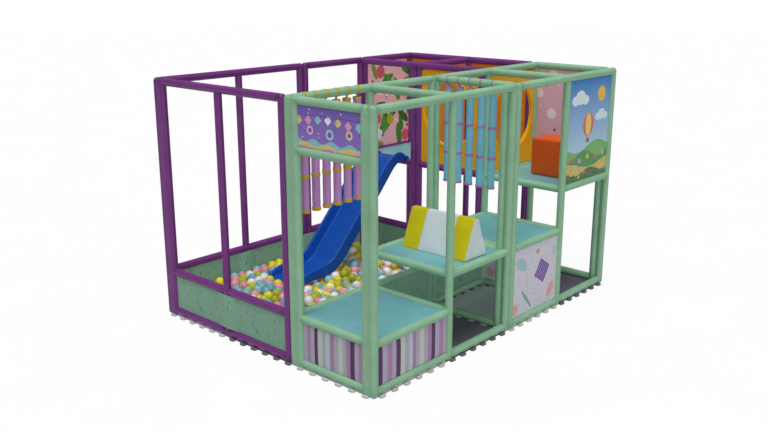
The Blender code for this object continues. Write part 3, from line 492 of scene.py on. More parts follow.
@dataclass(frozen=True)
class Webbing(Finish):
    """Woven polypropylene tape: matt ribs across it. The real ribs are 1.5 mm; they are drawn at 4 mm."""

    def material(self) -> Material:
        """The tape with its ribs.

        Returns:
            The material.
        """
        material, tree, shader, place = self.start(0.7, IOR=1.48)
        weave = add_node(tree, "TexNoise", {"Vector": place, "Scale": 1000 / 8.0, "Detail": 2.0})
        self.coat(tree, shader, weave, 0.35, 0.65)
        links = {"Vector": place, "Scale": 1000 / 4.0 / 6.28, "Distortion": 1.5}
        ribs = add_node(tree, "TexWave", links, bands_direction="DIAGONAL")
        bump = add_node(tree, "Bump", {"Height": ribs.outputs["Fac"], "Strength": 0.4, "Distance": 0.0008})
        tree.links.new(bump.outputs["Normal"], shader.inputs["Normal"])
        return material


# Mesh helpers


def to_object(bm: Mesh, name: str, materials: list[Material], angle: float = 40) -> Object:
    """Turns a bmesh into a smooth-shaded object at the origin.

    Args:
        bm: The shape, which is freed.
        name: The object's name.
        materials: Its materials, in the order of its face numbers.
        angle: Edges sharper than this many degrees stay crisp.

    Returns:
        The object.
    """
    mesh = bpy.data.meshes.new(name)
    bm.to_mesh(mesh)
    bm.free()
    for material in materials:
        mesh.materials.append(material)
    mesh.shade_smooth()
    mesh.set_sharp_from_angle(angle=math.radians(angle))
    piece = bpy.data.objects.new(name, mesh)
    bpy.context.scene.collection.objects.link(piece)
    return piece


def place_piece(piece: Object, node: str | None = None, body: str = STEADY) -> Object:
    """Rides a piece on its body and hides the CAD node that it replaces.

    Args:
        piece: The piece.
        node: The CAD node that it replaces.
        body: The CAD body that it moves with.

    Returns:
        The piece.
    """
    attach(piece, body)
    if node:
        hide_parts(node)
    log.info("%s rides on %s", piece.name, body)
    return piece


def move(bm: Mesh, place: Vector | tuple, turn: Matrix | None = None, verts: list[Vert] | None = None) -> None:
    """Turns a mesh, or some of its vertices, and then moves them to a place."""
    matrix = Matrix.Translation(place) @ (turn or Matrix.Identity(4))
    bmesh.ops.transform(bm, matrix=matrix, verts=verts or bm.verts)


def add_box(bm: Mesh, centre: Vector | tuple, size: Vector | tuple) -> None:
    """Adds a box to a mesh."""
    bmesh.ops.create_cube(bm, size=1, matrix=Matrix.Translation(centre) @ Matrix.Diagonal((*size, 1)))


def swept(bm: Mesh, geometry: list, full: bool, steps: int, known: set[Vert]) -> list[Vert]:
    """Turns a part of a mesh about the Z axis.

    Args:
        bm: The mesh.
        geometry: The part.
        full: Whether it goes all the way round, or half.
        steps: In how many steps.
        known: The vertices that were there before the part.

    Returns:
        The turned shape's vertices.
    """
    bmesh.ops.spin(
        bm,
        geom=geometry,
        cent=(0, 0, 0),
        axis=(0, 0, 1),
        dvec=(0, 0, 0),
        angle=2 * math.pi if full else math.pi,
        steps=steps,
        use_merge=full,
        use_duplicate=False,
    )
    bmesh.ops.remove_doubles(bm, verts=[vert for vert in bm.verts if vert not in known], dist=MERGE)
    return [vert for vert in bm.verts if vert not in known]


def spin_outline(bm: Mesh, outline: list[Place], steps: int) -> list[Vert]:
    """Turns an outline once round the Z axis.

    Args:
        bm: The mesh that takes the turned shape.
        outline: Radius and height of each point.
        steps: The number of sides.

    Returns:
        The new vertices.
    """
    known = set(bm.verts)
    verts = [bm.verts.new((radius, 0.0, height)) for radius, height in outline]
    edges = [bm.edges.new(pair) for pair in zip(verts, verts[1:])]
    made = swept(bm, verts + edges, True, steps, known)
    bmesh.ops.recalc_face_normals(bm, faces=list({face for vert in made for face in vert.link_faces}))
    return made


def cut(bm: Mesh, point: Vector | tuple, normal: Vector | tuple, snap: float = 0.0) -> None:
    """Cuts a shape's faces along a plane."""
    geometry = bm.verts[:] + bm.edges[:] + bm.faces[:]
    bmesh.ops.bisect_plane(bm, geom=geometry, plane_co=point, plane_no=normal, dist=snap)


def soft_box(low: Vector, high: Vector, edge: float, cell: float, axes: tuple[int, ...]) -> Mesh:
    """A box with rounded edges, cut into cells that can bend.

    Args:
        low: Its lowest corner.
        high: Its highest corner.
        edge: The radius of its edges.
        cell: The size of a cell.
        axes: The axes that it is cut across.

    Returns:
        The box.
    """
    bm = bmesh.new()
    add_box(bm, (low + high) / 2, high - low)
    bmesh.ops.bevel(bm, geom=bm.edges[:], offset=edge, segments=3, profile=0.5, affect="EDGES", material=-1)
    for axis in axes:
        count = max(1, round((high[axis] - low[axis]) / cell))
        normal = Vector((0, 0, 0))
        normal[axis] = 1
        for number in range(1, count):
            point = low.copy()
            point[axis] += (high[axis] - low[axis]) * number / count
            cut(bm, point, normal)
    return bm


def welt_along(name: str, points: list[Place], height: float, radius: float, material: Material) -> Object:
    """A welt sewn round a shape at one height.

    Args:
        name: The piece's name.
        points: The line's plan points.
        height: Its height.
        radius: The welt's radius.
        material: Its finish.

    Returns:
        The piece, as a mesh.
    """
    curve = bpy.data.curves.new(name, "CURVE")
    curve.dimensions = "3D"
    curve.bevel_depth = radius
    curve.bevel_resolution = 1
    curve.use_fill_caps = True
    spline = curve.splines.new("POLY")
    spline.points.add(len(points) - 1)
    for point, place in zip(spline.points, points):
        point.co = (*place, height, 1)
    spline.use_cyclic_u = True
    holder = bpy.data.objects.new(name, curve)
    bpy.context.scene.collection.objects.link(holder)
    mesh = bpy.data.meshes.new_from_object(holder.evaluated_get(bpy.context.evaluated_depsgraph_get()))
    bpy.data.objects.remove(holder, do_unlink=True)
    bpy.data.curves.remove(curve)
    mesh.materials.clear()
    mesh.materials.append(material)
    mesh.shade_smooth()
    mesh.name = name
    piece = bpy.data.objects.new(name, mesh)
    bpy.context.scene.collection.objects.link(piece)
    return piece


# Cloth


@dataclass
class Upholstery:
    """The foam-filled pieces, blown up together as cloth and then held within a set swell."""

    frames: int = 14
    pieces: list[tuple[Object, float, float, Callable[[Vector], bool]]] = field(default_factory=list)

    def add(self, piece: Object, pressure: float, cap: float, held: Callable[[Vector], bool]) -> None:
        """Takes in one piece.

        Args:
            piece: The padded piece.
            pressure: How hard its filling pushes.
            cap: The most that a point may move, in metres.
            held: Says of a vertex whether the cover is held there.
        """
        self.pieces.append((piece, pressure, cap, held))

    def fill(self, piece: Object, pressure: float, held: Callable[[Vector], bool]) -> None:
        """Sets up one piece's cloth.

        Args:
            piece: The padded piece.
            pressure: How hard its filling pushes.
            held: Says of a vertex whether the cover is held there.
        """
        group = piece.vertex_groups.new(name="held")
        group.add([v.index for v in piece.data.vertices if held(v.co)], 1.0, "REPLACE")
        cloth = piece.modifiers.new("filling", "CLOTH")
        settings = cloth.settings
        settings.quality = 4
        settings.mass = 0.3
        settings.tension_stiffness = settings.compression_stiffness = 15
        settings.bending_stiffness = 4
        settings.use_pressure = True
        settings.uniform_pressure_force = pressure
        settings.effector_weights.gravity = 0
        settings.vertex_group_mass = "held"
        cloth.collision_settings.use_collision = False
        cloth.point_cache.frame_end = self.frames

    def swell(self) -> None:
        """Runs one simulation for all the pieces and applies it to their meshes."""
        for piece, pressure, _cap, held in self.pieces:
            self.fill(piece, pressure, held)
        for number in range(1, self.frames + 1):
            bpy.context.scene.frame_set(number)
        depsgraph = bpy.context.evaluated_depsgraph_get()
        for piece, _pressure, cap, _held in self.pieces:
            moved = [vert.co.copy() for vert in piece.evaluated_get(depsgraph).data.vertices]
            piece.modifiers.remove(piece.modifiers["filling"])
            for vert, end in zip(piece.data.vertices, moved):
                shift = end - vert.co
                length = shift.length
                if length > 0:
                    shift *= cap * math.tanh(length / cap) / length
                vert.co += shift
            piece.vertex_groups.clear()
            smooth = piece.modifiers.new("smooth_cover", "SUBSURF")
            smooth.levels = smooth.render_levels = 1


# Tube sleeves


class End(Enum):
    """How a sleeve ends."""

    JOINT = "butts against another tube"
    CROWN = "a ball-shaped cap"
    FOOT = "stands on the mat"


@dataclass
class Sleeve:
    """One padded sleeve over a tube's axis."""

    start: Vector
    end: Vector
    near: End
    far: End
    radius: float = SLEEVE_RADIUS
    sides: int = 24
    ring: float = 0.09
    pinch: float = 0.0016

    def outline(self, length: float) -> list[Place]:
        """The sleeve's outline along its axis.

        Args:
            length: The tube's length.

        Returns:
            Radius and distance of each point from the start.
        """
        near = self.end_points(self.near)
        far = [(radius, length - along) for radius, along in reversed(self.end_points(self.far))]
        low, high = near[-1][1], far[0][1]
        count = max(2, round((high - low) / self.ring))
        return near + [(self.radius, low + (high - low) * step / count) for step in range(1, count)] + far

    def end_points(self, end: End) -> list[Place]:
        """One end's outline, from the axis to the full sleeve.

        Args:
            end: The end's kind.

        Returns:
            Radius and distance of each point from the tube's end.
        """
        full = self.radius
        if end is End.FOOT:
            return [(0, 0), (full - 0.008, 0), (full - 0.002, 0.003), (full, 0.009)]
        if end is End.CROWN:
            angles = [math.pi / 12 * step for step in range(7)]
            return [(full * math.sin(angle), -full * math.cos(angle)) for angle in angles]
        pinched = full - self.pinch
        rim = [(0, full * 0.5), (pinched, full * 0.5), (pinched, full * 0.93)]
        return rim + [(full - self.pinch * 0.45, full + 0.006), (full, full + 0.016)]

    def build(self, bm: Mesh, layer: object) -> None:
        """Adds the sleeve to a mesh, with its UV map in metres.

        Args:
            bm: The mesh.
            layer: The UV layer.
        """
        axis = self.end - self.start
        length = axis.length
        verts = spin_outline(bm, self.outline(length), self.sides)
        for face in {face for vert in verts for face in vert.link_faces}:
            centre = face.calc_center_median()
            middle = math.atan2(centre.y, centre.x)
            for loop in face.loops:
                co = loop.vert.co
                angle = math.atan2(co.y, co.x) if co.xy.length > 0.0001 else middle
                if angle - middle > math.pi:
                    angle -= 2 * math.pi
                elif middle - angle > math.pi:
                    angle += 2 * math.pi
                reach = max(0.0, min(co.z, length - co.z) - self.radius)
                loop[layer].uv = (angle * self.radius, reach)
        move(bm, self.start, Vector((0, 0, 1)).rotation_difference(axis).to_matrix().to_4x4(), verts)


@dataclass(frozen=True)
class Rails:
    """Level tubes between two plan points, one at each height."""

    start: Place
    end: Place
    heights: tuple[float, ...]


def along_x(y: float, start: float, end: float, *heights: float) -> Rails:
    """Rails that run along X."""
    return Rails((start, y), (end, y), heights)


def along_y(x: float, start: float, end: float, *heights: float) -> Rails:
    """Rails that run along Y."""
    return Rails((x, start), (x, end), heights)


@dataclass
class FrameSection:
    """One welded section of the frame, with a sleeve on each of its tubes.

    Its posts stand at each of its x with each of its y. It covers the gap of each corner pair at the
    front whose x is given, and a post whose rail ends nearer than past_end gets a cap.
    """

    node: str
    posts_x: tuple[float, ...]
    posts_y: tuple[float, ...]
    rails: tuple[Rails, ...]
    covered: tuple[float, ...] = ()
    cover_size: Place = (TWIN_PITCH * 0.62, SLEEVE_RADIUS * 1.88)
    cover_lift: float = 0.003
    past_end: float = 0.05

    def under_rail(self, post: Place) -> bool:
        """Whether a top rail runs on across a post.

        Args:
            post: The post's plan point.

        Returns:
            True if one does.
        """
        for rails in self.rails:
            if TOP_Z not in rails.heights:
                continue
            start, end, point = Vector(rails.start), Vector(rails.end), Vector(post)
            near, far = (start - point).length, (end - point).length
            if near + far < (end - start).length + 0.001 and min(near, far) > self.past_end:
                return True
        return False

    def build(self, material: Material, slot: str) -> None:
        """Builds the section's sleeves as one piece.

        Args:
            material: The sleeve vinyl.
            slot: The record's material slot; not used.
        """
        bm = bmesh.new()
        layer = bm.loops.layers.uv.new("sleeve")
        for post in product(self.posts_x, self.posts_y):
            far = End.JOINT if self.under_rail(post) else End.CROWN
            Sleeve(Vector((*post, FLOOR_Z)), Vector((*post, TOP_Z)), End.FOOT, far).build(bm, layer)
        for rails in self.rails:
            for height in rails.heights:
                start, end = Vector((*rails.start, height)), Vector((*rails.end, height))
                Sleeve(start, end, End.JOINT, End.JOINT).build(bm, layer)
        for x in self.covered:
            self.cover_gap(bm, layer, x)
        piece = place_piece(to_object(bm, "sleeves_" + self.node, [material], 50), self.node)

    def cover_gap(self, bm: Mesh, layer: object, x: float) -> None:
        """Covers the gap between a corner post and its twin, so that the pair reads as one wide post.

        Args:
            bm: The section's mesh.
            layer: Its UV layer.
            x: The middle of the pair.
        """
        low = FLOOR_Z + self.cover_lift
        height = TOP_Z - SLEEVE_RADIUS * 0.5 - low
        known = set(bm.faces)
        add_box(bm, (x, Y_FRONT, low + height / 2), (*self.cover_size, height))
        for face in set(bm.faces) - known:
            for loop in face.loops:
                loop[layer].uv = (SLEEVE_RADIUS, loop.vert.co.z)


GREEN_SECTIONS = (
    FrameSection(
        "green_front_frame",
        (X_RIGHT_TWIN, X_TOWER_TWIN),
        (Y_FRONT,),
        (along_x(Y_FRONT, X_RIGHT_TWIN, X_TOWER_TWIN, LOW_Z, FIRST_DECK_Z, SIGN_Z, TOP_Z),),
        ((X_RIGHT + X_RIGHT_TWIN) / 2, (X_TOWER + X_TOWER_TWIN) / 2),
    ),
    FrameSection(
        "green_right_frame_near",
        (X_RIGHT,),
        (Y_FRONT, Y_FIRST, Y_SECOND),
        (
            along_y(X_RIGHT, Y_FRONT, Y_FIRST, LOW_Z, FIRST_DECK_Z),
            along_y(X_RIGHT, Y_FIRST, Y_SECOND, LOW_Z, SECOND_DECK_Z),
            along_y(X_RIGHT, Y_FRONT, Y_SECOND, TOP_Z),
        ),
    ),
    FrameSection(
        "green_inner_frame_near",
        (X_TOWER,),
        (Y_FRONT, Y_FIRST, Y_SECOND),
        (
            along_y(X_TOWER, Y_FRONT, Y_FIRST, LOW_Z, FIRST_DECK_Z),
            along_y(X_TOWER, Y_FIRST, Y_SECOND, LOW_Z, FIRST_DECK_Z, SECOND_DECK_Z),
            along_y(X_TOWER, Y_FRONT, Y_SECOND, TOP_Z),
            along_x(Y_FIRST, X_TOWER, X_RIGHT, LOW_Z, FIRST_DECK_Z, SECOND_DECK_Z, TOP_Z),
        ),
    ),
    FrameSection(
        "green_middle_frame",
        (X_RIGHT_TWIN,),
        (Y_SECOND,),
        (along_x(Y_SECOND, X_RIGHT_TWIN, X_TOWER, LOW_Z, SECOND_DECK_Z),),
    ),
    FrameSection(
        "green_right_frame_far",
        (X_RIGHT,),
        (Y_SECOND_TWIN, Y_THIRD, Y_REAR),
        (
            along_y(X_RIGHT, Y_SECOND_TWIN, Y_THIRD, LOW_Z, SECOND_DECK_Z),
            along_y(X_RIGHT, Y_THIRD, Y_REAR, LOW_Z, HIGH_DECK_Z),
            along_y(X_RIGHT, Y_SECOND_TWIN, Y_REAR, TOP_Z),
        ),
    ),
    FrameSection(
        "green_inner_frame_far",
        (X_TOWER,),
        (Y_SECOND_TWIN, Y_THIRD, Y_REAR),
        (
            along_y(X_TOWER, Y_SECOND_TWIN, Y_THIRD, LOW_Z, FIRST_DECK_Z, SECOND_DECK_Z),
            along_y(X_TOWER, Y_THIRD, Y_REAR, LOW_Z, HIGH_DECK_Z),
            along_y(X_TOWER, Y_SECOND_TWIN, Y_REAR, TOP_Z),
            along_x(Y_SECOND_TWIN, X_TOWER, X_RIGHT, SECOND_DECK_Z, TOP_Z),
            along_x(Y_THIRD, X_TOWER, X_RIGHT, LOW_Z, SECOND_DECK_Z, HIGH_DECK_Z, TOP_Z),
        ),
    ),
    FrameSection(
        "green_rear_frame",
        (X_RIGHT_TWIN,),
        (Y_REAR,),
        (along_x(Y_REAR, X_RIGHT_TWIN, X_TOWER, LOW_Z, HIGH_DECK_Z, TOP_Z),),
    ),
)

PURPLE_SECTIONS = (
    FrameSection(
        "purple_front_frame",
        (X_LEFT_TWIN, X_MIDDLE, X_PIT),
        (Y_FRONT,),
        (
            along_x(Y_FRONT, X_LEFT_TWIN, X_MIDDLE, LOW_Z, FIRST_DECK_Z),
            along_x(Y_FRONT, X_MIDDLE, X_PIT, LOW_Z, FIRST_DECK_Z),
            along_x(Y_FRONT, X_LEFT_TWIN, X_PIT, TOP_Z),
        ),
        ((X_LEFT + X_LEFT_TWIN) / 2,),
    ),
    FrameSection(
        "purple_left_frame_near",
        (X_LEFT,),
        (Y_FRONT, Y_FIRST, Y_LEFT_JOINT),
        (
            along_y(X_LEFT, Y_FRONT, Y_FIRST, LOW_Z, FIRST_DECK_Z),
            along_y(X_LEFT, Y_FIRST, Y_LEFT_JOINT, LOW_Z, FIRST_DECK_Z),
            along_y(X_LEFT, Y_FRONT, Y_LEFT_JOINT, TOP_Z),
        ),
    ),
    FrameSection(
        "purple_left_frame_mid",
        (X_LEFT,),
        (Y_LEFT_JOINT_TWIN, Y_THIRD),
        (along_y(X_LEFT, Y_LEFT_JOINT_TWIN, Y_THIRD, LOW_Z, FIRST_DECK_Z, TOP_Z),),
    ),
    FrameSection(
        "purple_left_frame_far",
        (X_LEFT,),
        (Y_THIRD_TWIN, Y_REAR),
        (along_y(X_LEFT, Y_THIRD_TWIN, Y_REAR, LOW_Z, HIGH_DECK_Z, TOP_Z),),
    ),
    FrameSection(
        "purple_cross_frame",
        (X_MIDDLE_TWIN, X_MIDDLE, X_PIT),
        (Y_THIRD,),
        (
            along_x(Y_THIRD, X_MIDDLE_TWIN, X_LEFT, LOW_Z, FIRST_DECK_Z, HIGH_DECK_Z),
            along_x(Y_THIRD, X_MIDDLE, X_PIT, LOW_Z, FIRST_DECK_Z, HIGH_DECK_Z),
            along_x(Y_THIRD, X_PIT, X_LEFT, TOP_Z),
        ),
    ),
    FrameSection(
        "purple_rear_frame",
        (X_MIDDLE, X_PIT),
        (Y_REAR,),
        (
            along_x(Y_REAR, X_MIDDLE, X_LEFT, LOW_Z, HIGH_DECK_Z),
            along_x(Y_REAR, X_MIDDLE, X_PIT, LOW_Z, HIGH_DECK_Z),
            along_x(Y_REAR, X_PIT, X_LEFT, TOP_Z),
            along_y(X_MIDDLE, Y_REAR, Y_THIRD, HIGH_DECK_Z, TOP_Z),
            along_y(X_PIT, Y_REAR, Y_THIRD, HIGH_DECK_Z),
        ),
    ),
)


# Floor mat


@dataclass
class JigsawMat:
    """The floor of interlocking foam tiles, three across and four along."""

    across: int = 3
    along: int = 4
    teeth: int = 6
    neck: float = 0.050
    head: float = 0.080
    depth: float = 0.045
    chamfer: float = 0.016
    edge: float = 0.0025
    level: float = 0.0006

    def border(self, start: Vector, end: Vector) -> list[Vector]:
        """One tile border with its dovetail teeth, which stand out to the right of the way walked.

        Args:
            start: Where the border starts.
            end: Where it ends.

        Returns:
            The border's points, without its end.
        """
        way = (end - start).normalized()
        out = Vector((way.y, -way.x))
        half = (
            (self.neck / 2, 0),
            (self.head / 2, self.depth - self.chamfer),
            (self.head / 2 - self.chamfer, self.depth),
        )
        steps = [(-step, reach) for step, reach in half] + list(reversed(half))
        points = [start]
        for number in range(self.teeth):
            middle = start + (end - start) * (number + 0.5) / self.teeth
            points.extend(middle + way * step + out * reach for step, reach in steps)
        return points

    def shared(self, start: Vector, end: Vector) -> list[Vector]:
        """A border that the next tile's teeth reach into, walked backwards, without its start."""
        return (self.border(start, end) + [end])[:0:-1]

    def build(self, light: Material, dark: Material) -> None:
        """Builds the tiles.

        Args:
            light: The light tiles' foam.
            dark: The dark tiles' foam.
        """
        low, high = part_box("floor_mat")
        corner = Vector((low.x + self.depth, low.y + self.depth))
        size = Vector((high.x - low.x - 2 * self.depth, high.y - low.y - 2 * self.depth))
        pitch = Vector((size.x / self.across, size.y / self.along))
        for column, row in product(range(self.across), range(self.along)):
            a = corner + Vector((column * pitch.x, row * pitch.y))
            b, c, d = a + Vector((pitch.x, 0)), a + pitch, a + Vector((0, pitch.y))
            # Inner borders are walked the neighbour's way, so that both tiles share their line
            rear = self.border(c, d) if row == self.along - 1 else self.shared(d, c)
            left = self.border(d, a) if column == 0 else self.shared(a, d)
            points = self.border(a, b) + self.border(b, c) + rear + left
            bm = bmesh.new()
            face = bm.faces.new([bm.verts.new((*point, low.z)) for point in points])
            face.normal_update()
            if face.normal.z > 0:
                face.normal_flip()
            risen = bmesh.ops.extrude_face_region(bm, geom=[face])
            top = [item for item in risen["geom"] if isinstance(item, Vert)]
            bmesh.ops.translate(bm, vec=(0, 0, high.z - low.z), verts=top)
            bmesh.ops.recalc_face_normals(bm, faces=bm.faces)
            rim = [edge for edge in bm.edges if sum(abs(v.co.z - high.z) for v in edge.verts) < self.level]
            bmesh.ops.bevel(bm, geom=rim, offset=self.edge, segments=1, profile=0.5, affect="EDGES", material=-1)
            foam = light if (column + row) % 2 == 0 else dark
            piece = to_object(bm, f"foam_tile_{column + 1}_{row + 1}", [foam], 30)
            place_piece(piece, "floor_mat" if column == row == 0 else None)


# Boards and decks


@dataclass
class PaddedBoard:
    """A foam board in a vinyl cover, in the place of its CAD node.

    Its lap is what the cover reaches up under the rail's soft sleeve.
    """

    node: str
    slot: str
    cell: float = 0.055
    edge: float = 0.006
    swell: float = 0.004
    pressure: float = 6.0
    lap: float = 0.0

    def build(self, cover: Material, shop: Upholstery) -> None:
        """Builds the board and hands it to the upholstery.

        Args:
            cover: The cover's material.
            shop: Where its cover swells.
        """
        low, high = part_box(self.node)
        high = high + Vector((0, 0, self.lap))
        size = high - low
        thin = min(range(3), key=lambda axis: size[axis])
        wide = tuple(axis for axis in range(3) if axis != thin)
        inset = Vector((0, 0, 0))
        inset[thin] = self.swell * 0.8
        bm = soft_box(low + inset, high - inset, self.edge, self.cell, wide)
        piece = place_piece(to_object(bm, "cover_" + self.node, [cover]), self.node)
        rim = self.edge * 1.2

        def held(co: Vector) -> bool:
            """Whether a point lies on the board's rim, which its rails hold."""
            return any(min(co[axis] - low[axis], high[axis] - co[axis]) < rim for axis in wide)

        shop.add(piece, self.pressure, self.swell, held)


@dataclass
class PostCover:
    """The pit walls' vinyl, carried over the posts that stand between them.

    A sheet runs from wall to wall across a post. It lies sunk in the walls at its ends, its crest is the
    share of it that lies flat on the post, and its edges bow up by a share of what it stands proud.
    """

    low: float = 0.102
    high: float = 0.463
    inner: float = 0.0402
    outer: float = 0.0428
    sunk: float = 0.013
    spread: float = 0.16
    crest: float = 0.08
    bow: float = 0.45
    steps: int = 14

    def wrap(self, name: str, places: tuple[Place, ...], vinyl: Material) -> None:
        """Wraps the +X side of the posts.

        Args:
            name: The piece's name.
            places: The posts' plan points.
            vinyl: The walls' print.
        """
        bm = bmesh.new()
        for x, y in places:
            known = set(bm.verts)
            corners = ((self.inner, self.low), (self.outer, self.low), (self.outer, self.high), (self.inner, self.high))
            face = bm.faces.new([bm.verts.new((0, -reach, height)) for reach, height in corners])
            verts = swept(bm, [face, *face.edges, *face.verts], False, self.steps, known)
            bmesh.ops.translate(bm, vec=(x, y, 0), verts=verts)
        bmesh.ops.holes_fill(bm, edges=[edge for edge in bm.edges if edge.is_boundary], sides=4)
        self.finish(bm, name, vinyl)

    def bridge(self, name: str, places: tuple[Place, ...], vinyl: Material, turns: Place) -> None:
        """Carries a sheet across each post, on both sides.

        Args:
            name: The piece's name.
            places: The posts' plan points.
            vinyl: The walls' print.
            turns: Which way each sheet faces, in radians from -Y.
        """
        bm = bmesh.new()
        middle, half = (self.low + self.high) / 2, (self.high - self.low) / 2
        for (x, y), facing in product(places, turns):
            known = set(bm.verts)
            bmesh.ops.create_grid(bm, x_segments=4 * self.steps, y_segments=1, size=1)
            for vert in bm.verts:
                if vert not in known:
                    away = min(1.0, max(0.0, (abs(vert.co.x) - self.crest) / (1 - self.crest)))
                    proud = self.outer - (self.outer - self.sunk) * away * away * (3 - 2 * away)
                    lift = (proud - self.sunk) * self.bow
                    vert.co = (vert.co.x * self.spread, -proud, middle + vert.co.y * half + lift)
            faces = [face for face in bm.faces if face.verts[0] not in known]
            grown = bmesh.ops.extrude_face_region(bm, geom=faces, use_keep_orig=True)
            back = [item for item in grown["geom"] if isinstance(item, Vert)]
            bmesh.ops.translate(bm, vec=(0, self.outer - self.inner, 0), verts=back)
            new = [vert for vert in bm.verts if vert not in known]
            move(bm, (x, y, 0), Matrix.Rotation(facing, 4, "Z"), new)
        self.finish(bm, name, vinyl)

    def finish(self, bm: Mesh, name: str, vinyl: Material) -> None:
        """Turns the covers into a piece."""
        bmesh.ops.recalc_face_normals(bm, faces=bm.faces)
        place_piece(to_object(bm, name, [vinyl]))


# Slide


@dataclass
class Slide:
    """The moulded slide, smoothed from the CAD shell. Angles are in degrees."""

    levels: int = 2
    flat: float = 40.0
    square: float = 60.0
    crisp: float = 42.0
    lip_from: float = 0.86
    crease: float = 0.80
    weld: float = 0.00005

    def build(self, plastic: Material) -> None:
        """Builds the slide.

        Args:
            plastic: Its moulded plastic.
        """
        bm = bmesh.new()
        bm.from_mesh(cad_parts["slide"].data)
        bmesh.ops.remove_doubles(bm, verts=bm.verts, dist=self.weld)
        flat, square = math.radians(self.flat), math.radians(self.square)
        bmesh.ops.join_triangles(bm, faces=bm.faces, angle_face_threshold=flat, angle_shape_threshold=square)
        crease = bm.edges.layers.float.new("crease_edge")
        for edge in bm.edges:
            if len(edge.link_faces) == 2 and edge.calc_face_angle() > math.radians(self.crisp):
                edge[crease] = 1.0 if min(vert.co.y for vert in edge.verts) > self.lip_from else self.crease
        piece = place_piece(to_object(bm, "slide_shell", [plastic], 50), "slide")
        smooth = piece.modifiers.new("moulded_form", "SUBSURF")
        smooth.levels = smooth.render_levels = self.levels


# Balls


@dataclass
class BallPool:
    """The loose balls, settled on each other in the pit.

    The underside is the slide's: its distance along Y and its height.
    """

    radius: float = 0.055
    floor: float = 0.125
    top: float = 0.234
    fill: float = 0.60
    dip: float = 0.085
    dip_place: Place = (-0.62, -0.72)
    dip_reach: float = 0.26
    bank: float = 0.030
    rounds: int = 70
    push: float = 0.28
    sink: float = 0.0012
    seed: int = 11
    slide_half: float = 0.261
    slide_tip: float = -0.93
    underside: tuple[Place, ...] = (
        (-0.93, 0.172),
        (-0.419, 0.200),
        (-0.361, 0.210),
        (-0.253, 0.252),
        (-0.161, 0.325),
        (0.123, 0.620),
    )

    def level(self, points: np.ndarray) -> np.ndarray:
        """The highest that a ball's centre may lie: lower where the slide's users land, banked behind.

        Args:
            points: The balls' centres.

        Returns:
            A height for each ball.
        """
        x, y = self.dip_place
        away = (points[:, 0] - x) ** 2 + (points[:, 1] - y) ** 2
        hollow = self.dip * np.exp(-away / (2 * self.dip_reach**2))
        behind = np.clip((points[:, 1] + 0.35) / 0.35, 0, 1) * np.exp(-((points[:, 0] - x) ** 2) / 0.18)
        return self.top - hollow + self.bank * behind

    def part(self, points: np.ndarray) -> None:
        """Pushes overlapping balls a little apart.

        Args:
            points: The balls' centres, which it moves.
        """
        tree = KDTree(len(points))
        for number, point in enumerate(points):
            tree.insert(point, number)
        tree.balance()
        shift = np.zeros_like(points)
        for number, point in enumerate(points):
            for other, index, distance in tree.find_range(point, 2 * self.radius):
                if index != number and distance > 1e-9:
                    push = (2 * self.radius - distance) / distance * self.push
                    shift[number] += (point - np.array(other)) * push
        points += np.clip(shift, -self.radius / 2, self.radius / 2)

    def clear_slide(self, points: np.ndarray, middle: float) -> None:
        """Moves the balls out of the slide: to its side, past its tip or under it.

        Args:
            points: The balls' centres, which it moves.
            middle: The slide's middle across the pit.
        """
        r = self.radius
        beside = np.abs(points[:, 0] - middle)
        room = np.interp(points[:, 1], *zip(*self.underside)) - r
        clash = (points[:, 2] > room) & (beside < self.slide_half + r)
        clash &= (points[:, 1] > self.slide_tip - r) & (points[:, 1] < self.underside[-1][0])
        out = self.slide_half + r - beside
        ahead = points[:, 1] - (self.slide_tip - r)
        outward = clash & (out < r * 1.5) & (out <= ahead)
        forward = clash & (ahead < r * 1.5) & (ahead < out)
        side = np.where(points[:, 0] > middle, 1.0, -1.0)
        points[outward, 0] = middle + side[outward] * (self.slide_half + r)
        points[forward, 1] = self.slide_tip - r
        under = clash & ~outward & ~forward
        points[under, 2] = room[under]

    def settle(self) -> np.ndarray:
        """Settles the balls, round by round.

        Returns:
            The balls' centres.
        """
        low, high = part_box("ball_bed")
        slide_low, slide_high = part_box("slide")
        r = self.radius
        area = (high.x - low.x) * (high.y - low.y) - self.slide_half
        volume = area * (self.top - self.floor + r)
        count = int(volume * self.fill / (4 / 3 * math.pi * r**3))
        floor = np.array((low.x + r, low.y + r, self.floor))
        ceiling = np.array((high.x - r, high.y - r, self.top))
        points = floor + np.random.default_rng(self.seed).random((count, 3)) * (ceiling - floor)
        for turn in range(self.rounds):
            self.part(points)
            points[:, 2] -= self.sink * (1 - turn / self.rounds)
            self.clear_slide(points, (slide_low.x + slide_high.x) / 2)
            points = np.clip(points, floor, np.array((high.x - r, high.y - r, high.z)))
            points[:, 2] = np.minimum(points[:, 2], np.maximum(self.level(points), self.floor))
        return points

    def build(self, plastics: dict[str, Material]) -> None:
        """Builds the balls, one piece for each colour.

        Args:
            plastics: Each colour's plastic.
        """
        centres = self.settle()
        draw = random.Random(self.seed)
        heaps = {colour: [] for colour in plastics}
        for centre in centres:
            heaps[draw.choice(list(plastics))].append(centre)
        for number, (colour, places) in enumerate(heaps.items()):
            bm = bmesh.new()
            layer = bm.faces.layers.float.new("shade")
            for place in places:
                turn = Matrix.Rotation(draw.random() * math.pi, 4, "Z")
                turn = Matrix.Translation(place) @ turn @ Matrix.Rotation(draw.random() * math.pi, 4, "X")
                known = len(bm.faces)
                bmesh.ops.create_icosphere(bm, subdivisions=2, radius=self.radius, matrix=turn)
                bm.faces.ensure_lookup_table()
                shade = draw.random()
                for face in bm.faces[known:]:
                    face[layer] = shade
            piece = to_object(bm, f"balls_{colour}", [plastics[colour]], 180)
            place_piece(piece, None if number else "ball_bed")
        log.info("settled %d balls", len(centres))


# Foam toys


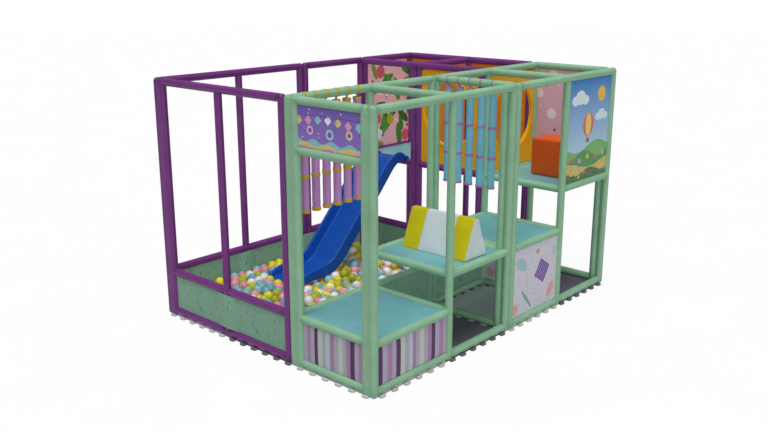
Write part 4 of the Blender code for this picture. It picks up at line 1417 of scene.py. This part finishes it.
@dataclass
class FoamCube:
    """The foam cube on the high deck, with welted edges."""

    node: str = "foam_cube"
    edge: float = 0.014
    cell: float = 0.05
    swell: float = 0.009
    pressure: float = 7.0
    welt: float = 0.0035

    def build(self, cover: Material, seam: Material, shop: Upholstery) -> None:
        """Builds the cube.

        Args:
            cover: Its vinyl.
            seam: The vinyl of its welts.
            shop: Where its cover swells.
        """
        low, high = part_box(self.node)
        inset = Vector((1, 1, 1)) * self.swell * 0.8
        bm = soft_box(low + inset, high - inset, self.edge, self.cell, (0, 1, 2))
        piece = place_piece(to_object(bm, "cover_" + self.node, [cover]), self.node)

        def held(co: Vector) -> bool:
            """Whether a point lies on the cube's base or on two sides at once."""
            sides = sum(min(co[axis] - low[axis], high[axis] - co[axis]) < self.edge * 1.9 for axis in range(3))
            return sides > 1 or co.z < low.z + self.edge

        shop.add(piece, self.pressure, self.swell, held)
        near = self.edge * 0.7
        corner = inset + Vector((near / 2, near / 2, near))
        start, end = low + corner, high - corner
        around = [(start.x, start.y), (end.x, start.y), (end.x, end.y), (start.x, end.y)]
        for name, height in (("low", start.z), ("high", end.z)):
            place_piece(welt_along(f"cube_welt_{name}", around, height, self.welt, seam))


@dataclass
class FoamRidge:
    """The climbing ridge: three sewn lengths, yellow, white and yellow."""

    node: str = "foam_ridge"
    top: float = 0.07
    share: float = 0.255
    edge: float = 0.008
    cell: float = 0.05
    swell: float = 0.008
    pressure: float = 6.0
    snap: float = 0.0001
    weld: float = 0.0004

    def build(self, ends: Material, middle: Material, shop: Upholstery) -> None:
        """Builds the ridge.

        Args:
            ends: The vinyl of its end lengths.
            middle: The vinyl of its middle length.
            shop: Where its cover swells.
        """
        low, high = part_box(self.node)
        inset = Vector((0.002, self.swell * 0.8, 0.002))
        floor, ceiling = low + inset, high - inset
        bm = soft_box(floor, ceiling, self.edge, self.cell, (0, 1, 2))
        centre = (low.y + high.y) / 2
        narrow = self.top / (high.y - low.y)
        for vert in bm.verts:
            rise = (vert.co.z - floor.z) / (ceiling.z - floor.z)
            vert.co.y = centre + (vert.co.y - centre) * (1 + (narrow - 1) * rise)
        length = self.share * (high.x - low.x)
        first, second = low.x + length, high.x - length
        for line in (first, second):
            cut(bm, (line, 0, 0), (1, 0, 0), self.snap)
        bmesh.ops.remove_doubles(bm, verts=bm.verts, dist=self.weld)
        for face in bm.faces:
            x = face.calc_center_median().x
            face.material_index = 1 if first < x < second or x > ceiling.x - 0.001 else 0
        piece = place_piece(to_object(bm, "cover_" + self.node, [ends, middle]), self.node)

        def held(co: Vector) -> bool:
            """Whether a point lies on the base, on the crest or on a sewn line."""
            rim = co.z < floor.z + 0.01 or co.z > ceiling.z - 0.01
            return rim or any(abs(co.x - line) < 0.006 for line in (floor.x, first, second, ceiling.x))

        shop.add(piece, self.pressure, self.swell, held)


# Hanging bags


@dataclass
class HangingBag:
    """One hanging bag: a stuffed vinyl tube, its coloured bands and the strap round the rail."""

    node: str
    slot: str
    bands: tuple[Place, ...]
    along_x: bool
    strap_width: float = 0.026
    strap: float = 0.0025
    radius: float = 0.0425
    sides: int = 20
    ring: float = 0.05
    drop: float = 0.064
    slack: float = 0.0006
    swell: float = 0.003
    pressure: float = 5.0

    def build(self, cover: Material, band: Material, tape: Material, shop: Upholstery) -> None:
        """Builds the bag, its bands and its strap.

        Args:
            cover: The bag's vinyl.
            band: The bands' vinyl.
            tape: The strap's webbing.
            shop: Where the bag swells.
        """
        low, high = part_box(self.node)
        axis = (low + high) / 2
        axis.z = 0
        top, foot = TOP_Z - self.drop, low.z + 0.0015
        radius = self.radius - self.swell
        count = round((top - foot) / self.ring)
        outline = [(0, foot), (radius - 0.012, foot), (radius - 0.003, foot + 0.004), (radius, foot + 0.013)]
        outline += [(radius, foot + 0.013 + (top - foot - 0.026) * n / count) for n in range(1, count)]
        outline += [(radius, top - 0.013), (radius - 0.003, top - 0.004), (radius - 0.012, top), (0, top)]
        bm = bmesh.new()
        spin_outline(bm, outline, self.sides)
        move(bm, axis)
        bag = place_piece(to_object(bm, "stuffed_" + self.node, [cover]), self.node, self.node)
        edges = [edge for pair in self.bands for edge in pair]

        def held(co: Vector) -> bool:
            """Whether a point lies at the bag's ends or by the edge of a band."""
            end = co.z > top - 0.006 or co.z < foot + 0.006
            return end or any(abs(co.z - edge) < 0.024 for edge in edges)

        shop.add(bag, self.pressure, self.swell, held)
        self.sew_bands(axis, band)
        self.hang(axis, tape)

    def sew_bands(self, axis: Vector, band: Material) -> None:
        """Sews the bands round the bag.

        Args:
            axis: The bag's axis.
            band: Their vinyl.
        """
        bm = bmesh.new()
        skin = self.radius - 0.0008
        inner, rim, crown = skin - 0.004, skin + 0.0006, skin + 0.0014
        for start, end in self.bands:
            wall = [(inner, start), (rim, start + 0.0004), (crown, start + 0.004)]
            wall += [(crown, end - 0.004), (rim, end - 0.0004), (inner, end), (inner, start)]
            spin_outline(bm, wall, self.sides)
        move(bm, axis)
        place_piece(to_object(bm, "bands_" + self.node, [band]), body=self.node)

    def hang(self, axis: Vector, tape: Material) -> None:
        """Loops the strap over the rail.

        Args:
            axis: The bag's axis.
            tape: The strap's webbing.
        """
        bm = bmesh.new()
        half = self.strap_width / 2
        inner = SLEEVE_RADIUS + self.slack
        outer = inner + self.strap
        loop = [(inner, -half), (outer, -half), (outer + 0.0006, 0), (outer, half), (inner, half), (inner, -half)]
        spin_outline(bm, loop, 32)
        move(bm, (0, 0, 0), Matrix.Rotation(math.pi / 2, 4, "X"))
        tail_top, tail_foot = -inner - self.strap / 2, -self.drop - 0.004
        size = (self.strap * 2.4, self.strap_width * 0.9, tail_top - tail_foot)
        add_box(bm, (0, 0, (tail_top + tail_foot) / 2), size)
        move(bm, (axis.x, axis.y, TOP_Z), Matrix.Rotation(math.pi / 2 if self.along_x else 0, 4, "Z"))
        place_piece(to_object(bm, "strap_" + self.node, [tape], 35), body=self.node)


# Crawl boards


@dataclass
class CrawlRim:
    """The moulded rim that lines a crawl hole, with its screws."""

    node: str
    board: str
    outward: Vector
    band: float = 0.045
    wall: float = 0.006
    sides: int = 64
    screws: int = 8
    screw: tuple[Place, ...] = ((0, 0.0028), (0.003, 0.0026), (0.0062, 0.0012), (0.0068, -0.001), (0, -0.001))

    def build(self, plastic: Material, steel: Material) -> None:
        """Builds the rim and its screws.

        Args:
            plastic: The rim's plastic.
            steel: The screws' finish.
        """
        low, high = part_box(self.node)
        board_low, board_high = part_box(self.board)
        outer = (high.z - low.z) / 2
        free = outer - self.band
        axis = 0 if abs(self.outward.x) > 0.5 else 1
        centre = (low + high) / 2
        centre[axis] = (board_low[axis] + board_high[axis]) / 2
        face = (board_high[axis] - board_low[axis]) / 2 + 0.0003
        outline = [
            (free, -face),
            (free, face + self.wall * 0.4),
            (free + 0.0018, face + self.wall * 0.8),
            (free + 0.005, face + self.wall),
            (outer - 0.006, face + self.wall * 0.9),
            (outer - 0.0012, face + self.wall * 0.55),
            (outer, face),
            (free + self.wall, face),
            (free + self.wall, -face),
            (free, -face),
        ]
        turn = Vector((0, 0, 1)).rotation_difference(self.outward).to_matrix().to_4x4()
        bm = bmesh.new()
        spin_outline(bm, outline, self.sides)
        move(bm, centre, turn)
        place_piece(to_object(bm, "moulded_" + self.node, [plastic], 35), self.node)
        bm = bmesh.new()
        reach = free + self.band * 0.55
        for number in range(self.screws):
            angle = 2 * math.pi * (number + 0.5) / self.screws
            head = spin_outline(bm, self.screw, 10)
            move(bm, (reach * math.cos(angle), reach * math.sin(angle), face + self.wall * 0.92), verts=head)
        move(bm, centre, turn)
        place_piece(to_object(bm, "screws_" + self.node, [steel], 35))


# Studio


@dataclass
class Studio:
    """The pale floor, the soft lamps and the camera. Angles are in degrees."""

    camera_place: tuple[float, float, float] = (6.211, -7.110, 3.585)
    azimuth: float = 41.95
    elevation: float = 15.47
    lens: float = 40.83
    reach: float = 60.0
    sunk: float = 0.0005
    glow: float = 1.145
    glow_share: float = 0.80
    world: float = 0.22

    def build(self) -> None:
        """Builds the floor, the lamps, the world and the camera."""
        scene = bpy.context.scene
        scene.view_settings.view_transform = "Standard"
        self.build_floor()
        self.build_world(scene)
        self.lamp("sun_key", (0.3, -1.4, 8.0), 2.15, 45)
        self.lamp("fill_side", (7.0, -1.8, 2.2), 0.50, 30, shadows=False)
        self.lamp("fill_low", (4.6, -5.1, 1.6), 0.36, 30, shadows=False)
        a, e = math.radians(self.azimuth), math.radians(self.elevation)
        back = Vector((math.sin(a) * math.cos(e), -math.cos(a) * math.cos(e), math.sin(e)))
        data = bpy.data.cameras.new("camera")
        data.lens = self.lens
        data.sensor_width = 36.0
        camera = self.aim("camera", data, back)
        camera.location = self.camera_place
        scene.camera = camera

    def aim(self, name: str, data: bpy.types.ID, back: Vector) -> Object:
        """Adds a camera or a lamp.

        Args:
            name: Its name.
            data: The camera or lamp.
            back: The direction that it looks away from.

        Returns:
            Its object.
        """
        item = bpy.data.objects.new(name, data)
        item.rotation_mode = "QUATERNION"
        item.rotation_quaternion = (-back).to_track_quat("-Z", "Y")
        bpy.context.scene.collection.objects.link(item)
        return item

    def build_floor(self) -> None:
        """Builds the floor: white to the camera, with the object's soft shadow left on it."""
        pale = Finish("studio_floor", "ACACAC", "A6A6A6")
        material, tree, shader, place = pale.start(0.9)
        pale.coat(tree, shader, add_node(tree, "TexNoise", {"Vector": place, "Scale": 0.8}), 0.3, 0.7)
        path = add_node(tree, "LightPath").outputs
        seen = add_node(tree, "Math", {0: path["Is Camera Ray"], 1: path["Is Glossy Ray"]}, operation="MAXIMUM")
        seen = add_node(tree, "Math", {0: seen, 1: path["Is Transmission Ray"]}, operation="MAXIMUM")
        share = add_node(tree, "Math", {0: seen, 1: self.glow_share}, operation="MULTIPLY")
        glow = add_node(tree, "Emission", {"Color": (1, 1, 1, 1), "Strength": self.glow})
        both = add_node(tree, "MixShader", {0: share, 1: shader, 2: glow})
        tree.links.new(both.outputs["Shader"], tree.nodes["Material Output"].inputs["Surface"])
        bm = bmesh.new()
        bmesh.ops.create_circle(bm, cap_ends=True, segments=64, radius=self.reach)
        floor = to_object(bm, "studio_floor", [material])
        floor.location.z = -self.sunk

    def build_world(self, scene: bpy.types.Scene) -> None:
        """Lights the world softly and shows it white.

        Args:
            scene: The scene.
        """
        scene.world = bpy.data.worlds.new("studio")
        scene.world.use_nodes = True
        tree = scene.world.node_tree
        background = tree.nodes["Background"]
        background.inputs["Color"].default_value = (1, 1, 1, 1)
        background.inputs["Strength"].default_value = self.world
        shown = add_node(tree, "Background", {"Color": (1, 1, 1, 1), "Strength": 1.0})
        seen = add_node(tree, "LightPath").outputs["Is Camera Ray"]
        both = add_node(tree, "MixShader", {0: seen, 1: background, 2: shown})
        tree.links.new(both.outputs["Shader"], tree.nodes["World Output"].inputs["Surface"])

    def lamp(self, name: str, place: tuple, energy: float, angle: float, shadows: bool = True) -> None:
        """Adds a sun that shines at the origin.

        Args:
            name: Its name.
            place: Where it stands.
            energy: Its strength.
            angle: How soft it is.
            shadows: Whether it casts any; a fill doesn't, so that it reaches under the decks.
        """
        data = bpy.data.lights.new(name, "SUN")
        data.energy = energy
        data.angle = math.radians(angle)
        data.use_shadow = shadows
        self.aim(name, data, Vector(place))


# Prints

# The stripes' inks: mauve, lilac, plum, cream and ice
INKS = {"M": "B088B0", "L": "B8B2C6", "P": "50225A", "C": "CCD4C8", "I": "C0D4DC"}
STRIPES_RIGHT = "PLMLPCLIMLCLMPLML"
STRIPES_FRONT = "LMLPCLIMLCLMPLM"

PIT_CONFETTI = (
    Dashes("3F5C4A", 0.062, 0.050, 0.008, 0.16),
    Dashes("4C4A5C", 0.080, 0.042, 0.008, -0.22),
)
DOT_CONFETTI = (
    Dashes("3A2E52", 0.024, 0.012, 0.007, 0.5),
    Dashes("5E4C7A", 0.029, 0.011, 0.006, 1.1),
)


def printed(node: str, plane: Plane, colour: str, tone: str, **extras) -> Material:
    """One board's print, laid out for its place.

    Args:
        node: The board's CAD node.
        plane: The plane that it stands in.
        colour: The ground's colour at the top.
        tone: The ground's colour at the foot.
        extras: Stripes, confetti or motifs.

    Returns:
        The material.
    """
    low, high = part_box(node)
    place = {"centre": tuple((low + high) / 2), "half_height": (high.z - low.z) / 2}
    design = PrintedVinyl("printed_vinyl_" + node, colour, tone, plane=plane, crease=0.15, **place, **extras)
    return design.material()


def striped(node: str, plane: Plane, inks: str) -> Material:
    """A board of upright stripes.

    Args:
        node: The board's CAD node.
        plane: The plane that it stands in.
        inks: The stripes' inks, in the order of the plane's first axis.

    Returns:
        The material.
    """
    low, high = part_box(node)
    draw = random.Random(len(inks))
    shares = [draw.uniform(0.9, 1.25) for _ink in inks]
    unit = max(high.x - low.x, high.y - low.y) / sum(shares)
    stripes = tuple((share * unit, INKS[ink]) for share, ink in zip(shares, inks))
    return printed(node, plane, INKS["L"], INKS["L"], stripes=stripes)


def disc(x: float, z: float, size: float, colour: str, squash: float = 1.0, turn: float = 0.0) -> Motif:
    """A printed disc or oval."""
    return Motif(Shape.DISC, x, z, size, size * squash, colour, turn)


def slab(x: float, z: float, width: float, height: float, colour: str, turn: float = 0.0) -> Motif:
    """A printed oblong."""
    return Motif(Shape.BOX, x, z, width, height, colour, turn)


def hill(shift: float, z: float, length: float, rise: float, colour: str) -> Motif:
    """A printed wavy band that fills the board below it."""
    return Motif(Shape.HILL, shift, z, length, rise, colour)


def cloud(x: float, z: float, size: float, colour: str) -> tuple[Motif, ...]:
    """A printed cloud of three ovals."""
    return (
        disc(x - size * 0.75, z - size * 0.12, size * 0.6, colour, 0.7),
        disc(x, z + size * 0.1, size * 0.8, colour, 0.75),
        disc(x + size * 0.8, z - size * 0.14, size * 0.62, colour, 0.65),
    )


def scattered(count: int, room: Place, sizes: Place, inks: str, seed: int, squash: float = 1.0) -> tuple[Motif, ...]:
    """Discs strewn over a board.

    Args:
        count: How many.
        room: Half the board's width and height.
        sizes: The smallest and largest radius.
        inks: Their colours.
        seed: Fixes the layout.
        squash: Height over width of each.

    Returns:
        The discs.
    """
    draw = random.Random(seed)
    return tuple(
        disc(
            draw.uniform(-room[0], room[0]),
            draw.uniform(-room[1], room[1]),
            draw.uniform(*sizes),
            draw.choice(inks.split()),
            squash,
            draw.uniform(0, math.pi),
        )
        for _number in range(count)
    )


GARLAND = ("F0D878", "F0A8C8", "90D8E0", "FFFFFF")
BLOOMS = ("D85A6A", "E89AC0", "F0D060")
BERRIES = ("B43A4A", "5A3A6A", "E8C04A", "D87AA0")

SIGN_MOTIFS = (
    hill(0.4, -0.105, 0.11, 0.018, "8FD0D8"),
    hill(1.9, -0.135, 0.14, 0.016, "E8D48A"),
    hill(0.9, -0.165, 0.17, 0.014, "E7A8CF"),
    *(
        slab(-0.36 + 0.12 * n, 0.075 - 0.012 * math.cos(n * 1.1), 0.03, 0.03, GARLAND[n % 4], math.pi / 4)
        for n in range(7)
    ),
    slab(0.0, 0.118, 0.42, 0.004, "6A4AA0"),
    disc(-0.22, -0.015, 0.040, "F4C6E0"),
    disc(-0.22, -0.015, 0.022, "8A5AC0"),
    disc(0.02, -0.03, 0.046, "A8E4EA"),
    disc(0.02, -0.03, 0.026, "8A5AC0"),
    disc(0.25, -0.01, 0.038, "F4E29A"),
    disc(0.25, -0.01, 0.020, "8A5AC0"),
    *scattered(16, (0.40, 0.17), (0.004, 0.008), "F4E29A FFFFFF 6A4AA0", 5),
)
SKY_MOTIFS = (
    *cloud(-0.22, 0.36, 0.13, "E6F4FA"),
    *cloud(0.26, 0.14, 0.10, "DDEFF8"),
    disc(0.24, 0.38, 0.085, "F2C24E"),
    disc(-0.02, 0.06, 0.115, "E0705A", 1.15),
    disc(-0.02, 0.06, 0.060, "F4D27A", 2.2),
    slab(-0.02, -0.115, 0.032, 0.022, "8A5A3A"),
    slab(-0.035, -0.082, 0.003, 0.03, "6A4A3A"),
    slab(-0.005, -0.082, 0.003, 0.03, "6A4A3A"),
    hill(0.2, -0.18, 0.42, 0.05, "79B86A"),
    hill(2.4, -0.27, 0.33, 0.05, "4F9A58"),
    hill(4.4, -0.38, 0.50, 0.04, "D8C070"),
    hill(1.0, -0.46, 0.30, 0.03, "3E7E4A"),
    *(disc(-0.34 + 0.17 * n, -0.30 - 0.03 * (n % 2), 0.030, BLOOMS[n % 3]) for n in range(5)),
    *(disc(-0.40 + 0.115 * n, -0.47 - 0.02 * (n % 3), 0.022, BERRIES[n % 4]) for n in range(8)),
    *(slab(-0.34 + 0.17 * n, -0.37 - 0.03 * (n % 2), 0.004, 0.045, "3A6E3E") for n in range(5)),
)
PINK_MOTIFS = (
    *scattered(9, (0.40, 0.50), (0.05, 0.085), "F4DCE6 E0A8C0 FBEEF3", 3),
    *scattered(12, (0.42, 0.52), (0.010, 0.020), "F6F0F4 5A3A48", 8),
)
LEAF_MOTIFS = (
    *scattered(20, (0.42, 0.52), (0.10, 0.17), "3C8A38 4E9C44 2C6C2C 86A02C", 21, 0.36),
    *scattered(8, (0.38, 0.48), (0.06, 0.085), "C2B02C F0EEEE D8607C 3A3038", 4),
    *scattered(18, (0.40, 0.50), (0.014, 0.024), "FFF4F4 2A2A2E", 14),
)
DOTTED_MOTIFS = (
    disc(-0.28, 0.20, 0.110, "A9CBD6", 0.6, 0.5),
    slab(0.12, 0.04, 0.105, 0.105, "6C4A98", 0.6),
    *(
        slab(0.12 + step * math.cos(0.6), 0.04 - step * math.sin(0.6), 0.005, 0.092, "B9A4D6", 0.6)
        for step in (-0.072, -0.036, 0, 0.036, 0.072)
    ),
    disc(0.30, -0.22, 0.090, "EBA6A2", 0.6, 2.2),
    slab(-0.20, -0.18, 0.10, 0.016, "6AB0A8", 0.9),
    slab(-0.14, -0.24, 0.10, 0.016, "6AB0A8", 0.9),
    disc(-0.38, -0.28, 0.06, "E8A8A8"),
    disc(0.02, 0.28, 0.030, "D88A7A"),
    slab(0.36, 0.22, 0.05, 0.05, "BCD2DC", 0.2),
)


# The whole


def dress_frames() -> None:
    """Sleeves every tube."""
    looks = (
        ("green_sleeve", "98C8A4", "8EBC9A", "78A886", GREEN_SECTIONS),
        ("purple_sleeve", "7A3284", "702C7A", "4A2450", PURPLE_SECTIONS),
    )
    for slot, colour, tone, seam, sections in looks:
        vinyl = SleeveVinyl(slot + "_vinyl", colour, tone, roughness=0.46, crease=0.22, seam=seam).material()
        for section in sections:
            section.build(vinyl, slot)


def dress_pit_walls(shop: Upholstery) -> None:
    """Covers the pit's walls and carries their vinyl over the posts.

    Args:
        shop: Where their covers swell.
    """
    walls = {
        Plane.XZ: ("front_left", "front_right", "rear_left", "rear_right"),
        Plane.YZ: ("left_near", "left_mid", "left_far", "side_near", "side_mid", "side_far"),
    }
    covers = {}
    for plane, places in walls.items():
        for place in places:
            covers[place] = printed("pit_wall_" + place, plane, "86B49A", "80AE94", confetti=PIT_CONFETTI)
            PaddedBoard("pit_wall_" + place, "pit_vinyl").build(covers[place], shop)
    left_posts = ((X_LEFT, Y_FIRST), (X_LEFT, Y_LEFT_JOINT), (X_LEFT, Y_LEFT_JOINT_TWIN))
    tower_posts = ((X_TOWER, Y_FIRST), (X_TOWER, Y_SECOND), (X_TOWER, Y_SECOND_TWIN))
    PostCover().bridge("pit_wraps_left", left_posts, covers["side_near"], (-math.pi / 2, math.pi / 2))
    PostCover().bridge("pit_wraps_front", ((X_MIDDLE, Y_FRONT),), covers["front_left"], (0.0, math.pi))
    PostCover().wrap("pit_wraps_tower", tower_posts, covers["side_near"])


def dress_boards(shop: Upholstery) -> None:
    """Covers the other boards and the decks.

    Args:
        shop: Where their covers swell.
    """
    for node, plane, inks in (
        ("striped_panel_front", Plane.XZ, STRIPES_FRONT),
        ("striped_panel_right", Plane.YZ, STRIPES_RIGHT),
    ):
        PaddedBoard(node, "striped_vinyl").build(striped(node, plane, inks), shop)
    for node, plane in (("dotted_panel_right", Plane.YZ), ("dotted_panel_rear", Plane.XZ)):
        cover = printed(node, plane, "DEDCE8", "D8D6E4", confetti=DOT_CONFETTI, motifs=DOTTED_MOTIFS)
        PaddedBoard(node, "dotted_vinyl").build(cover, shop)
    for name, plane, colour, tone, motifs in (
        ("sign", Plane.XZ, "8468C8", "9A78D0", SIGN_MOTIFS),
        ("sky", Plane.YZ, "3A86CE", "D2F2FB", SKY_MOTIFS),
        ("pink", Plane.XZ, "EEC2D4", "E2B4C8", PINK_MOTIFS),
        ("leaf", Plane.YZ, "FAC6D0", "F0B8C4", LEAF_MOTIFS),
    ):
        cover = printed(name + "_panel", plane, colour, tone, motifs=motifs)
        PaddedBoard(name + "_panel", name + "_vinyl", lap=RAIL_LAP).build(cover, shop)
    orange = CoatedVinyl("orange_vinyl", "F88E0C", "EE8206", crease=0.15).material()
    for node in ("orange_panel_left", "orange_panel_right"):
        PaddedBoard(node, "orange_vinyl", lap=RAIL_LAP).build(orange, shop)
    teal = CoatedVinyl("teal_deck_vinyl", "78BAC0", "70B0B6", roughness=0.4, crease=0.12).material()
    for node in ("first_deck", "second_deck", "third_deck", "high_deck", "slide_deck_left", "slide_deck_right"):
        PaddedBoard(node, "teal_vinyl", cell=0.05, edge=0.010, swell=0.006, pressure=5.0).build(teal, shop)


def dress_crawl_boards() -> None:
    """Gives the crawl boards their plastic and their rims."""
    mustard = MouldedPolyethylene("mustard_board_plastic", "F2AE10", "F0B01C", roughness=0.42).material()
    rim = MouldedPolyethylene("rim_plastic", "F8B208", "F6B618", roughness=0.35).material()
    steel = MouldedPolyethylene("screw_cap_plastic", "B8862A", "C09034").material()
    for side, outward in (("front", (0, -1, 0)), ("side", (1, 0, 0))):
        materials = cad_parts["crawl_panel_" + side].data.materials
        materials.clear()
        materials.append(mustard)
        CrawlRim("crawl_rim_" + side, "crawl_panel_" + side, Vector(outward)).build(rim, steel)


def dress_pit() -> None:
    """Builds the slide and the balls."""
    Slide().build(MouldedPolyethylene("blue_slide_plastic", "024AA8", "064EAC", roughness=0.45).material())
    looks = {
        "pink": ("EDA4AE", "D88494"),
        "turquoise": ("8CC0C8", "6A9EAE"),
        "lime": ("BCC42E", "A0A61E"),
        "yellow": ("EADF22", "D8C218"),
        "white": ("F2F2F4", "DADADE"),
    }
    BallPool().build({name: BallPlastic(name + "_ball_plastic", *look).material() for name, look in looks.items()})


def dress_toys(shop: Upholstery) -> None:
    """Builds the cube and the ridge.

    Args:
        shop: Where they swell.
    """
    orange = CoatedVinyl("cube_vinyl", "E85C06", "DE5402", crease_mm=120).material()
    seam = CoatedVinyl("cube_welt_vinyl", "A8440E", "983A0A", crease_mm=40).material()
    FoamCube().build(orange, seam, shop)
    yellow = CoatedVinyl("yellow_vinyl", "DCCF08", "CEC204", crease_mm=120).material()
    white = CoatedVinyl("white_vinyl", "DCE8EC", "D0DEE4", crease_mm=120).material()
    FoamRidge().build(yellow, white, shop)


def dress_bags(shop: Upholstery) -> None:
    """Hangs the two rows of bags.

    Args:
        shop: Where they swell.
    """
    pink = CoatedVinyl("pink_bag_vinyl", "C28CC8", "B680BC", crease_mm=70, crease=0.3).material()
    blue = CoatedVinyl("blue_bag_vinyl", "7CC4DA", "70B8D0", crease_mm=70, crease=0.3).material()
    yellow = CoatedVinyl("yellow_band_vinyl", "C8A818", "B89612", crease_mm=60).material()
    rose = CoatedVinyl("rose_band_vinyl", "B480B4", "A672AA", crease_mm=60).material()
    yellow_tape = Webbing("yellow_webbing", "CDB622", "B49C18").material()
    rose_tape = Webbing("rose_webbing", "B07CB0", "96649A").material()
    pink_bands = ((1.469, 1.502), (1.795, 1.828), (2.124, 2.157), (2.445, 2.474))
    blue_bands = ((1.469, 1.492), (1.775, 1.805), (2.085, 2.115), (2.450, 2.474))
    for number in range(6):
        bag = HangingBag(f"pink_bag_{number + 1}", "pink_bag_vinyl", pink_bands, False)
        bag.build(pink, yellow, yellow_tape, shop)
    for number in range(5):
        bag = HangingBag(f"blue_bag_{number + 1}", "blue_bag_vinyl", blue_bands, True, strap_width=0.012)
        bag.build(blue, rose, rose_tape, shop)


def main() -> None:
    """Builds the whole scene in order."""
    logging.basicConfig(level=logging.INFO, format="%(name)s: %(message)s")
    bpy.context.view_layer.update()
    Studio().build()
    shop = Upholstery()
    dress_frames()
    JigsawMat().build(
        EvaFoam("light_foam", "D2D4D6", "C8CACD").material(),
        EvaFoam("dark_foam", "74727C", "66646D").material(),
    )
    dress_pit_walls(shop)
    dress_boards(shop)
    dress_crawl_boards()
    dress_pit()
    dress_toys(shop)
    dress_bags(shop)
    shop.swell()


if __name__ == "__main__":
    main()
